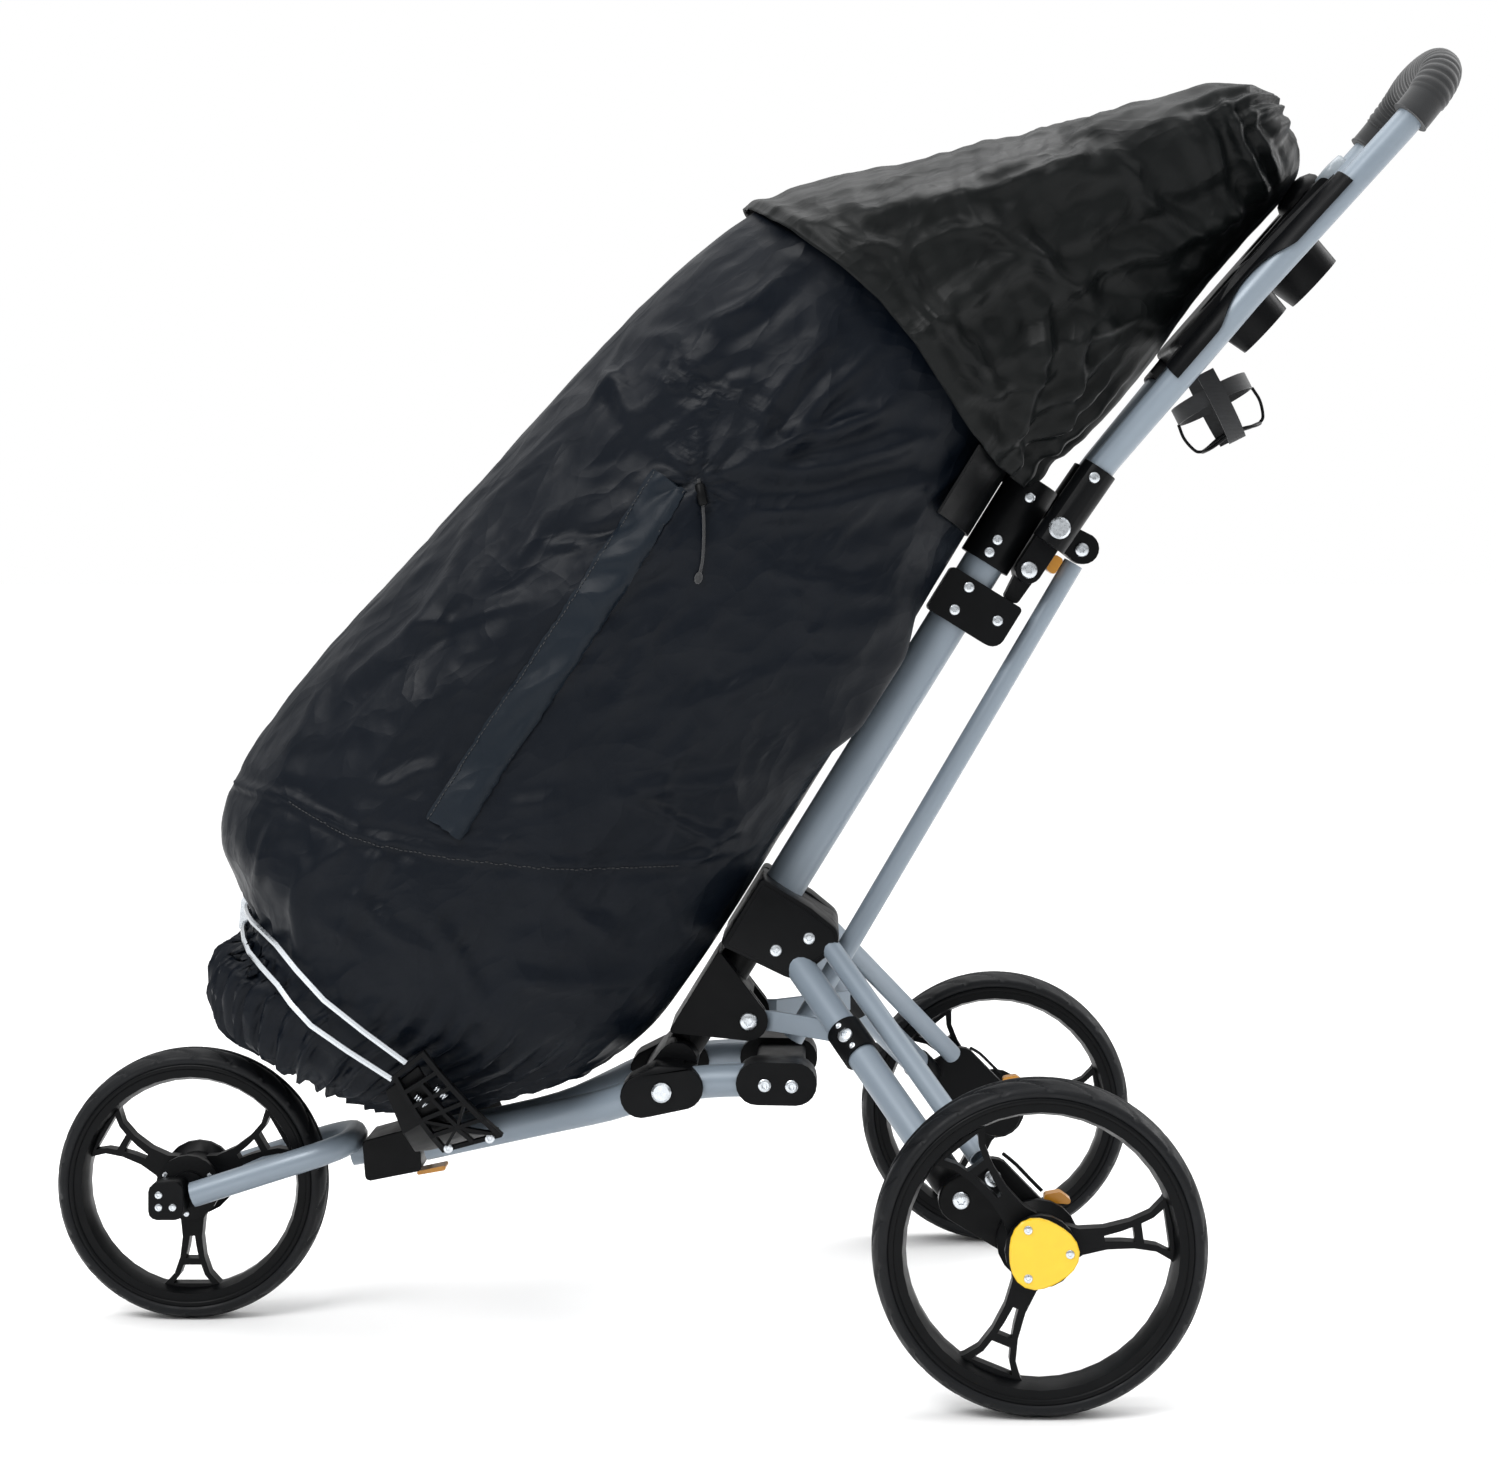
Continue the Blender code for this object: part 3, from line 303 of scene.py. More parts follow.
def finish(name, colour, roughness, metallic=0.0, **sockets):
    """A named surface with constants on its own sockets, and its tree and shader."""
    material = bpy.data.materials.new(name)
    material.use_nodes = True
    tree = material.node_tree
    shader = tree.nodes["Principled BSDF"]
    shader.inputs["Base Color"].default_value = linear(colour)
    shader.inputs["Roughness"].default_value = roughness
    shader.inputs["Metallic"].default_value = metallic
    for key, value in sockets.items():
        shader.inputs[key.replace("_", " ")].default_value = value
    return material, tree, shader


def noise_at(tree, millimetres, detail, **settings):
    place = add(tree, "ShaderNodeTexCoord").outputs["Object"]
    return add(tree, "ShaderNodeTexNoise", {"Vector": place, "Scale": 1000 / millimetres, "Detail": detail},
               **settings).outputs[0]


def bump(tree, shader, height, depth, strength, under=None):
    """Adds relief of this depth in metres, on top of any relief under it."""
    values = {"Height": height, "Distance": depth, "Strength": strength}
    if under is not None:
        values["Normal"] = under
    relief = add(tree, "ShaderNodeBump", values).outputs["Normal"]
    tree.links.new(relief, shader.inputs["Normal"])
    return relief


def mottle(tree, shader, first, second, factor):
    """Lets the colour drift between two near ones."""
    mix = add(tree, "ShaderNodeMix", {"Factor": factor, 6: linear(first), 7: linear(second)},
              data_type="RGBA")
    tree.links.new(mix.outputs[2], shader.inputs["Base Color"])


def vary(tree, shader, factor, low, high):
    span = add(tree, "ShaderNodeMapRange", {"Value": factor, "From Min": 0.3, "From Max": 0.7, "To Min": low,
                                            "To Max": high})
    tree.links.new(span.outputs[0], shader.inputs["Roughness"])


def powder_coat(name, light, dark):
    # Baked polyester powder on tube: satin, with the faint orange peel that breaks up a highlight
    material, tree, shader = finish(name, light, 0.40, 0.12, Coat_Weight=0.15, Coat_Roughness=0.30)
    mottle(tree, shader, light, dark, noise_at(tree, 90, 3))
    vary(tree, shader, noise_at(tree, 35, 3), 0.34, 0.46)
    bump(tree, shader, noise_at(tree, 1.6, 1), 0.00006, 0.5)
    return material


def moulded_nylon(name, light, dark, low, high):
    # Glass-filled nylon from a spark-eroded mould: a fine matt grain, a little shinier where it is rubbed
    material, tree, shader = finish(name, light, 0.48, Specular_IOR_Level=0.10)
    mottle(tree, shader, light, dark, noise_at(tree, 40, 4))
    vary(tree, shader, noise_at(tree, 18, 4), low, high)
    bump(tree, shader, noise_at(tree, 0.9, 3), 0.00010, 0.7)
    return material


def tyre_rubber():
    # Solid foamed rubber: dull, with a dusty bloom on the tread
    material, tree, shader = finish("tyre_rubber", "#0E1012", 0.55, Specular_IOR_Level=0.19)
    mottle(tree, shader, "#0A0B0D", "#121417", noise_at(tree, 30, 5))
    vary(tree, shader, noise_at(tree, 12, 4), 0.40, 0.60)
    bump(tree, shader, noise_at(tree, 1.1, 3), 0.00012, 0.7)
    return material


def grip_foam():
    # Closed-cell foam: fine pores and a soft, even dullness
    material, tree, shader = finish("grip_foam", "#17181A", 0.80, Sheen_Weight=0.25, Sheen_Roughness=0.5)
    mottle(tree, shader, "#131416", "#1B1D1F", noise_at(tree, 14, 4))
    place = add(tree, "ShaderNodeTexCoord").outputs["Object"]
    pores = add(tree, "ShaderNodeTexVoronoi", {"Vector": place, "Scale": 1000 / 1.2}).outputs["Distance"]
    bump(tree, shader, pores, 0.00015, 0.6)
    return material


def coated_nylon(name, settings, low, high):
    # Coated nylon taffeta: blue-black, a dull plastic sheen on the crests, and small crumples all over
    material, tree, shader = finish(name, low, 0.44, Sheen_Weight=0.02, Sheen_Roughness=0.35)
    shader.inputs["Sheen Tint"].default_value = linear("#AEB8C4")
    shader.inputs["Specular IOR Level"].default_value = 0.14
    mottle(tree, shader, low, high, noise_at(tree, 120, 5))
    vary(tree, shader, noise_at(tree, 45, 4), 0.36, 0.54)
    creases = noise_at(tree, 55, 5, noise_type="RIDGED_MULTIFRACTAL")
    relief = bump(tree, shader, creases, settings.crease_depth, 0.6)
    # Flat facets with crisp edges, longer along the cover, bent a little by noise
    place = add(tree, "ShaderNodeTexCoord").outputs["Object"]
    drift = add(tree, "ShaderNodeTexNoise", {"Vector": place, "Scale": 1000 / 70, "Detail": 2.0})
    bent = add(tree, "ShaderNodeVectorMath", {0: drift.outputs["Color"], 1: (0.045, 0.045, 0.045), 2: place},
               operation="MULTIPLY_ADD").outputs[0]
    along_cover = (0.0, math.pi / 2 - LEAN + 0.25, 0.0)
    turned = add(tree, "ShaderNodeMapping", {"Vector": bent, "Rotation": along_cover, "Scale": (1.0, 1.0, 2.0)},
                 vector_type="TEXTURE").outputs[0]
    for millimetres, depth in ((105, 0.0150), (42, 0.0060), (17, 0.0014)):
        facets = add(tree, "ShaderNodeTexVoronoi", {"Vector": turned, "Scale": 1000 / millimetres})
        relief = bump(tree, shader, facets.outputs["Distance"], depth, 0.8, relief)
    small = noise_at(tree, 19, 3)
    relief = bump(tree, shader, small, settings.crease_depth * 0.45, 0.5, relief)
    # The threads run 0.2 mm apart, drawn 1.5 mm apart so that they still show
    place = add(tree, "ShaderNodeTexCoord").outputs["UV"]
    for direction in ("X", "Y"):
        thread = add(tree, "ShaderNodeTexWave", {"Vector": place, "Scale": 0.314 / 0.0015},
                     wave_type="BANDS", bands_direction=direction).outputs["Fac"]
        relief = bump(tree, shader, thread, 0.00005, 0.25, relief)
    return material


def woven_webbing():
    # Polypropylene webbing: coarse ribs across the strap
    material, tree, shader = finish("woven_webbing", "#141517", 0.72, Sheen_Weight=0.3)
    mottle(tree, shader, "#101113", "#1D1F22", noise_at(tree, 6, 3))
    place = add(tree, "ShaderNodeTexCoord").outputs["Object"]
    ribs = add(tree, "ShaderNodeTexWave", {"Vector": place, "Scale": 0.314 / 0.0012, "Distortion": 0.6},
               bands_direction="Z").outputs["Fac"]
    bump(tree, shader, ribs, 0.00020, 0.6)
    return material


def zinc_plate():
    # Bright zinc on steel: mirror-like with a slightly uneven bath finish
    material, tree, shader = finish("zinc_plated_steel", "#C9CED3", 0.26, 1.0)
    vary(tree, shader, noise_at(tree, 3, 3), 0.18, 0.36)
    bump(tree, shader, noise_at(tree, 1.4, 2), 0.00005, 0.5)
    return material


def moulded_abs(name, light, dark):
    # Gloss ABS in a strong colour: clean highlights and faint flow marks
    material, tree, shader = finish(name, light, 0.34, Coat_Weight=0.2, Coat_Roughness=0.2)
    mottle(tree, shader, light, dark, noise_at(tree, 16, 3))
    bump(tree, shader, noise_at(tree, 1.8, 2), 0.00005, 0.5)
    return material


def matt_floor():
    # Matt white paper: no shine, so that only the soft shadows mark it
    material, tree, shader = finish("matt_floor", "#FDFDFD", 1.0, Specular_IOR_Level=0.0)
    mottle(tree, shader, "#FCFCFC", "#FEFEFE", noise_at(tree, 900, 2))
    return material


# Settings


class CartFinishSettings(bpy.types.PropertyGroup):
    tube_colour: StringProperty(name="Tube colour", description="Hex colour of the painted tubes",
                                default="#7F8A94")
    plastic_colour: StringProperty(name="Plastic colour", description="Hex colour of the mouldings",
                                   default="#0A0B0D")
    cap_colour: StringProperty(name="Cap colour", description="Hex colour of the wheel caps",
                               default="#E9C21E")
    lever_colour: StringProperty(name="Lever colour", description="Hex colour of levers and latches",
                                 default="#C98A1E")


class CartWheelSettings(bpy.types.PropertyGroup):
    groove_count: IntProperty(name="Grooves", description="Tread grooves round each tyre", default=22, min=6)
    groove_depth: FloatProperty(name="Groove depth", description="Depth of the tread grooves", default=0.0016,
                                unit="LENGTH")
    groove_width: FloatProperty(name="Groove width", description="Width of a tread groove", default=0.0030,
                                unit="LENGTH")


class CartClothSettings(bpy.types.PropertyGroup):
    thickness: FloatProperty(name="Thickness", description="Thickness of the cover's cloth", default=0.0009,
                             unit="LENGTH")
    crumple: FloatProperty(name="Crumple", description="Height of the small creases", default=0.0023,
                           unit="LENGTH")
    crease_depth: FloatProperty(name="Fine creases", description="Relief of the finest creases",
                                default=0.0022, unit="LENGTH")
    gathers: IntProperty(name="Gathers", description="Pleats round the elastic base", default=46, min=8)
    flap_width: FloatProperty(name="Flap width", description="Width of the flap over the opening",
                              default=0.036, unit="LENGTH")
    colour: StringProperty(name="Cloth colour", description="Hex colour of the cloth", default="#050B14")


class CartStageSettings(bpy.types.PropertyGroup):
    camera_place: FloatVectorProperty(name="Camera", description="Where the camera stands", size=3,
                                      subtype="TRANSLATION", default=(0.0645, -2.58, 0.679))
    lens: FloatProperty(name="Lens", description="Focal length on a 36 mm sensor, in mm", default=68.13)
    key_power: FloatProperty(name="Key light", description="Power of the main softbox", default=56.0,
                             unit="POWER")


# Rigid parts


FINISH_OF_SLOT = {}


def make_finishes(scene):
    colours = scene.cart_finish
    cloth = scene.cart_cloth
    FINISH_OF_SLOT.update({
        "paint": powder_coat("painted_tube", colours.tube_colour, "#76828E"),
        "black_paint": moulded_nylon("black_painted_tube", "#0B0C0D", "#0F1011", 0.30, 0.42),
        "plastic": moulded_nylon("glass_filled_nylon", colours.plastic_colour, "#08090A", 0.32, 0.46),
        "steel": zinc_plate(),
        "tyre": tyre_rubber(),
        "rubber": moulded_nylon("cable_sheath", "#17181A", "#101112", 0.45, 0.6),
        "foam": grip_foam(),
        "yellow": moulded_abs("yellow_abs", colours.cap_colour, "#DDB218"),
        "amber": moulded_abs("amber_acetal", colours.lever_colour, "#B87812"),
        "webbing": woven_webbing(),
        "cover_cloth": coated_nylon("cover_taffeta", cloth, colours_near(cloth.colour, 0.85), cloth.colour),
        "bag_cloth": moulded_nylon("bag_lining", "#1C1D20", "#141517", 0.6, 0.8),
        "hood_cloth": coated_nylon("hood_taffeta", cloth, "#06090A", "#0D0F0F"),
        # The flap is the cover's own cloth painted lighter: its lighter colour is a painted highlight
        "flap_cloth_painted_highlight": coated_nylon("flap_taffeta_painted_highlight", cloth, "#0F161D", "#161D25"),
        "button_grey": moulded_abs("grey_abs", "#8E979E", "#828B92"),
    })


def colours_near(colour, share):
    """The colour with each sRGB channel cut to this share."""
    return "#" + "".join(f"{int(int(colour[i:i + 2], 16) * share):02X}" for i in (1, 3, 5))


# Nodes that detailed pieces stand for, so that they aren't refined here
REMADE = {"bottle_holder", "front_tyre", "rear_left_tyre", "rear_right_tyre", "grip", "rain_cover",
          "rain_hood"}
# How far the edges of each moulding are eased
EASED = {"hub_left": 0.0012, "hub_right": 0.0012, "gusset": 0.0010, "column_clamp": 0.0010,
         "hinge_arm": 0.0010, "foot_block": 0.0010, "front_rim": 0.0009, "rear_left_rim": 0.0009,
         "rear_right_rim": 0.0009, "console": 0.0010, "end_block": 0.0014, "knuckle_left": 0.0010,
         "knuckle_right": 0.0010, "front_collar": 0.0012, "wheel_bracket_left": 0.0012,
         "wheel_bracket_right": 0.0012, "leg_collar_left": 0.0010, "leg_collar_right": 0.0010,
         "top_sleeve": 0.0010, "handle_sleeve_left": 0.0010, "handle_sleeve_right": 0.0010,
         "base_bracket_left": 0.0010, "base_bracket_right": 0.0010, "upper_cradle": 0.0008,
         "leg_link_left": 0.0008, "leg_link_right": 0.0008}


def refine(node, body, slot):
    """A copy of a rigid node with its faces joined, its curves shaded smooth and its edges eased."""
    mesh = frame["nodes"][node].data.copy()
    work = bmesh.new()
    work.from_mesh(mesh)
    bmesh.ops.remove_doubles(work, verts=work.verts, dist=0.00001)
    bmesh.ops.dissolve_limit(work, angle_limit=math.radians(1.0), verts=work.verts, edges=work.edges)
    work.to_mesh(mesh)
    work.free()
    piece = new_piece(f"{node}_finished", mesh, FINISH_OF_SLOT[slot], body, smooth=38)
    if node in EASED:
        ease = piece.modifiers.new("eased", "BEVEL")
        ease.width = EASED[node]
        ease.segments = 2
        ease.limit_method = "ANGLE"
        ease.angle_limit = math.radians(42)
        ease.harden_normals = True
    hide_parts(node)


class CART_OT_rigid_parts(bpy.types.Operator):
    """Finishes the tubes and mouldings of the frame"""
    bl_idname = "golf_cart.rigid_parts"
    bl_label = "Rigid parts"

    def execute(self, context):
        slots = {row["node"]: row["material_slot"] for row in frame["record"]["subparts"]}
        for body, nodes in frame["record"]["behaviour"]["bodies"].items():
            for node in nodes:
                if node not in REMADE:
                    refine(node, body, slots[node])
        return {"FINISHED"}


# Wheels


def tyre_mesh(name, centre, radius, width, settings):
    """A tyre with a crowned tread whose curved grooves sweep from the shoulders to the middle."""
    half = width / 2
    seat = radius - 0.0145
    section = [(seat, half - 0.0045), (seat + 0.0035, half - 0.0012), (radius - 0.0085, half - 0.0006),
               (radius - 0.0050, half - 0.0022)]
    steps = 18
    crown = [(radius - 0.0042 * abs(2 * k / steps - 1) ** 3.2, (half - 0.0040) * (1 - 2 * k / steps))
             for k in range(steps + 1)]
    profile = section + crown + [(r, -y) for r, y in section[::-1]]
    turns = 440
    points = []
    for i in range(turns):
        angle = 2 * math.pi * i / turns
        for r, y in profile:
            across = y / half
            if r > radius - 0.0075:
                sweep = angle * settings.groove_count / (2 * math.pi) + 1.3 * abs(across) ** 0.7
                place = abs((sweep + (0.5 if across > 0 else 0.0)) % 1.0 - 0.5) * 2 * math.pi * radius
                place /= settings.groove_count
                share = max(0.0, 1 - (place / settings.groove_width) ** 2)
                if 0.16 < abs(across) < 0.93:
                    r -= settings.groove_depth * share ** 0.5
                if abs(abs(across) - 0.10) < 0.035:
                    r -= settings.groove_depth * 0.7
            points.append((centre.x + r * math.cos(angle), centre.y + y, centre.z + r * math.sin(angle)))
    return mesh_from(name, points, between_rings(turns, len(profile), closed=True))


def rim_beads(name, centre, radius, width):
    """The two moulded rings that hold the tyre's edges."""
    meshes = []
    for sign in (-1, 1):
        ring = [(centre.x + radius * math.cos(a), centre.y + sign * (width / 2 - 0.0030),
                 centre.z + radius * math.sin(a)) for a in np.linspace(0, 2 * math.pi, 161)]
        points = []
        sides = 8
        for i, p in enumerate(ring[:-1]):
            out = (Vector(p) - Vector((centre.x, p[1], centre.z))).normalized()
            for k in range(sides):
                angle = 2 * math.pi * k / sides
                across = Vector((0, 0.0018 * math.sin(angle), 0))
                points.append(Vector(p) + out * 0.0026 * math.cos(angle) + across)
        meshes.append(mesh_from(name, points, between_rings(len(ring) - 1, sides, closed=True)))
    return joined(name, meshes)


class CART_OT_wheels(bpy.types.Operator):
    """Makes the tyres with their tread, and the beads of the rims"""
    bl_idname = "golf_cart.wheels"
    bl_label = "Wheels"

    def execute(self, context):
        settings = context.scene.cart_wheels
        wheels = [("front", "front_wheel", FRONT_WHEEL, FRONT_RADIUS, FRONT_WIDTH)]
        for side, sign in SIDES:
            wheels.append((f"rear_{side}", f"rear_wheel_{side}", flipped(REAR_WHEEL, sign), REAR_RADIUS,
                           REAR_WIDTH))
        for name, body, centre, radius, width in wheels:
            tyre = new_piece(f"{name}_treaded_tyre", tyre_mesh(name, centre, radius, width, settings),
                             FINISH_OF_SLOT["tyre"], body, smooth=55)
            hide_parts(f"{name}_tyre")
            beads = rim_beads(f"{name}_rim_beads", centre, radius - 0.0148, width)
            new_piece(f"{name}_rim_beads", beads, FINISH_OF_SLOT["plastic"], body, smooth=60)
        return {"FINISHED"}


# Fasteners and stitches: one small shape set on many points


def scatter_tree(name):
    """Sets a shape on each point, turned to the point's axis and scaled by its size."""
    tree = bpy.data.node_groups.new(name, "GeometryNodeTree")
    for label, kind in (("Places", "NodeSocketGeometry"), ("Shape", "NodeSocketObject"),
                        ("Finish", "NodeSocketMaterial"), ("Size", "NodeSocketFloat")):
        tree.interface.new_socket(label, in_out="INPUT", socket_type=kind)
    tree.interface.new_socket("Result", in_out="OUTPUT", socket_type="NodeSocketGeometry")
    start = add(tree, "NodeGroupInput")
    axis = add(tree, "GeometryNodeInputNamedAttribute", {"Name": "axis"}, data_type="FLOAT_VECTOR")
    size = add(tree, "GeometryNodeInputNamedAttribute", {"Name": "size"}, data_type="FLOAT")
    turn = add(tree, "FunctionNodeAlignRotationToVector", {"Vector": axis.outputs["Attribute"]}, axis="Z")
    scale = add(tree, "ShaderNodeMath", {0: size.outputs["Attribute"], 1: start.outputs["Size"]},
                operation="MULTIPLY")
    shape = add(tree, "GeometryNodeObjectInfo", {"Object": start.outputs["Shape"]})
    placed = add(tree, "GeometryNodeInstanceOnPoints",
                 {"Points": start.outputs["Places"], "Instance": shape.outputs["Geometry"],
                  "Rotation": turn.outputs["Rotation"], "Scale": scale.outputs[0]})
    real = add(tree, "GeometryNodeRealizeInstances", {"Geometry": placed.outputs["Instances"]})
    done = add(tree, "GeometryNodeSetMaterial",
               {"Geometry": real.outputs["Geometry"], "Material": start.outputs["Finish"]})
    add(tree, "NodeGroupOutput", {"Result": done.outputs["Geometry"]})
    return tree


def scattered(name, tree, places, shape, material, size=1.0):
    """The mesh that the tree makes of these (point, axis, size) places."""
    mesh = bpy.data.meshes.new(name)
    mesh.from_pydata([tuple(p) for p, _, _ in places], [], [])
    axes = mesh.attributes.new("axis", "FLOAT_VECTOR", "POINT")
    axes.data.foreach_set("vector", np.array([tuple(a) for _, a, _ in places], np.float32).ravel())
    sizes = mesh.attributes.new("size", "FLOAT", "POINT")
    sizes.data.foreach_set("value", np.array([s for _, _, s in places], np.float32))
    holder = bpy.data.objects.new(name, mesh)
    bpy.context.scene.collection.objects.link(holder)
    modifier = holder.modifiers.new("scatter", "NODES")
    modifier.node_group = tree
    named = {item.name: item.identifier for item in tree.interface.items_tree if item.in_out == "INPUT"}
    modifier[named["Shape"]] = shape
    modifier[named["Finish"]] = material
    modifier[named["Size"]] = size
    graph = bpy.context.evaluated_depsgraph_get()
    result = bpy.data.meshes.new_from_object(holder.evaluated_get(graph))
    bpy.data.objects.remove(holder, do_unlink=True)
    for label in ("axis", "size"):
        if label in result.attributes:
            result.attributes.remove(result.attributes[label])
    return result


def turned_shape(name, rings, sides=24, lobes=()):
    """A hidden shape turned round Z from (radius, z) rings; the rings in lobes get six lobes."""
    points = []
    for i, (radius, z) in enumerate(rings):
        for k in range(sides):
            angle = 2 * math.pi * k / sides
            r = radius * (1 + 0.16 * math.cos(6 * angle)) if i in lobes else radius
            points.append((r * math.cos(angle), r * math.sin(angle), z))
    mesh = mesh_from(name, points, between_rings(len(rings), sides) + end_caps(len(rings), sides))
    mesh.shade_smooth()
    mesh.set_sharp_from_angle(angle=math.radians(35))
    obj = bpy.data.objects.new(name, mesh)
    bpy.context.scene.collection.objects.link(obj)
    obj.hide_render = True
    return obj


def screw_places():
    """(kind, body, point, axis, size) of each fastener, with the driving face outwards."""
    rows = []
    for side, sign in SIDES:
        out = Vector((0.0, sign, 0.0))

        def at(body, xz, y, size, kind="screw"):
            for x, z in xz:
                rows.append((kind, body, Vector((x, y * sign, z)), out, size))

        at("chassis", ((0.2502, 0.7433), (0.2212, 0.7052), (0.2140, 0.6941)), 0.0240, 0.0048)
        at("chassis", ((0.2489, 0.6783),), 0.0322, 0.0078)
        at("chassis", ((0.2980, 0.6965),), 0.0148, 0.0066)
        at("chassis", ((0.1955, 0.6626), (0.1825, 0.6423), (0.2212, 0.6323)), 0.0252, 0.0050)
        at("chassis", ((LINK_PIN.x, LINK_PIN.z),), 0.0402, 0.0080)
        at("hub", ((0.0224, 0.3420), (0.0517, 0.3527)), 0.0742, 0.0054)
        at("handle", ((0.3040, 0.7600),), 0.0688, 0.0050)
        at("front_frame", ((0.0126, 0.2248), (0.0364, 0.2239)), 0.0857, 0.0056, "rivet")
        at("front_frame", ((-0.5265, 0.1115), (-0.5265, 0.1225), (-0.5140, 0.1115)), 0.0588, 0.0034)
        at("front_frame", ((-0.2610, 0.1765), (-0.2250, 0.1850), (-0.2760, 0.1950)), 0.1195, 0.0042)
        at(f"bracket_{side}", ((LEG_PIN.x + LEG_RUN.x, LEG_PIN.z + LEG_RUN.z),
                               (BRACE_PIN.x + LEG_RUN.x, BRACE_PIN.z + LEG_RUN.z)), 0.2732, 0.0072)
        for k in range(3):
            angle = 2 * math.pi * k / 3
            at(f"rear_wheel_{side}", ((REAR_WHEEL.x + 0.0222 * math.cos(angle),
                                       REAR_WHEEL.z + 0.0222 * math.sin(angle)),), 0.3288, 0.0036)
            at("front_wheel", ((FRONT_WHEEL.x + 0.0230 * math.cos(angle + 0.5),
                                FRONT_WHEEL.z + 0.0230 * math.sin(angle + 0.5)),), 0.0282, 0.0026)
        run = flipped(LEG_RUN, sign).normalized()
        face = (out - run * out.dot(run)).normalized()
        middle = flipped(LEG_PIN + LEG_RUN * 0.380, sign)
        row = ((0.0, 0.0066, "screw"), (-0.0125, 0.0028, "rivet"), (0.0125, 0.0028, "rivet"))
        for step, size, kind in row:
            rows.append((kind, f"leg_{side}", middle + run * step + face * 0.0161, face, size))
    return rows


class CART_OT_fasteners(bpy.types.Operator):
    """Sets the screws, bolt heads and rivets"""
    bl_idname = "golf_cart.fasteners"
    bl_label = "Fasteners"

    def execute(self, context):
        tree = scatter_tree("set_on_points")
        screw = turned_shape("screw_head", ((1.0, -0.05), (1.0, 0.22), (0.90, 0.36), (0.66, 0.44),
                                            (0.42, 0.46), (0.36, 0.20)), lobes=(4, 5))
        rivet = turned_shape("rivet_head", ((1.0, -0.05), (1.0, 0.14), (0.82, 0.26), (0.50, 0.28),
                                            (0.40, 0.24), (0.34, 0.08)))
        groups = {}
        for kind, body, point, axis, size in screw_places():
            groups.setdefault((body, kind), []).append((point, axis, size))
        for (body, kind), places in groups.items():
            mesh = scattered(f"{body}_{kind}s", tree, places, screw if kind == "screw" else rivet,
                             FINISH_OF_SLOT["steel"])
            new_piece(f"{body}_{kind}s", mesh, FINISH_OF_SLOT["steel"], body, smooth=0)
        for shape in (screw, rivet):
            bpy.data.objects.remove(shape, do_unlink=True)
        return {"FINISHED"}


# Handle and trim


def rail_point(share, sign):
    """A place on the handle's rail, from the bend at its foot to the grip, with its direction."""
    line = [flipped(p, sign) for p in smooth_line(HANDLE_RAIL, 6)]
    lengths = [0.0]
    for a, b in zip(line, line[1:]):
        lengths.append(lengths[-1] + (b - a).length)
    target = share * lengths[-1]
    for i in range(len(line) - 1):
        if lengths[i + 1] >= target:
            part = (target - lengths[i]) / (lengths[i + 1] - lengths[i])
            return line[i].lerp(line[i + 1], part), (line[i + 1] - line[i]).normalized()
    return line[-1], (line[-1] - line[-2]).normalized()


def console_skirt(sign):
    """The console's wavy edge, which wraps over a rail of the handle."""
    rows, sides, thick = 60, 9, 0.0022
    points, faces = [], []
    for i in range(rows + 1):
        u = i / rows
        centre, ahead = rail_point(0.20 + 0.62 * u, sign)
        out = Vector((0.0, sign, 0.0))
        out = (out - ahead * out.dot(ahead)).normalized()
        rise = ahead.cross(out)
        if rise.z < 0:
            rise = -rise
        wave = 0.5 - 0.5 * math.cos(2 * math.pi * min(1.0, max(0.0, (u - 0.24) / 0.44)))
        lowest = math.radians(2 + 58 * wave ** 0.6)
        for k in range(sides + 1):
            angle = lowest + (math.radians(150) - lowest) * k / sides
            for r in (0.0134, 0.0134 + thick):
                points.append(centre + out * r * math.cos(angle) + rise * r * math.sin(angle))
        for r in (0.0, thick):
            points.append(centre - out * 0.0180 + rise * (0.0135 + r + 0.004 * math.sin(math.pi * u)))
    step = 2 * (sides + 2)
    for i in range(rows):
        a, b = i * step, (i + 1) * step
        for k in range(0, step - 2, 2):
            faces.append((a + k, a + k + 2, b + k + 2, b + k))
            faces.append((a + k + 1, b + k + 1, b + k + 3, a + k + 3))
        faces.append((a, b, b + 1, a + 1))
        faces.append((a + step - 2, a + step - 1, b + step - 1, b + step - 2))
    for a in (0, rows * step):
        for k in range(0, step - 2, 2):
            faces.append((a + k, a + k + 1, a + k + 3, a + k + 2))
    return mesh_from("console_skirt", points, faces)


def grip_radius(share, angle):
    """Foam ribs across the grip, with plain collars at its ends."""
    from_end = min(share, 1 - share)
    if from_end < 0.13:
        return 0.0172 + (0.0006 if from_end < 0.012 else 0.0)
    return 0.0170 + 0.0017 * abs(math.sin(math.pi * share * 36)) ** 0.6


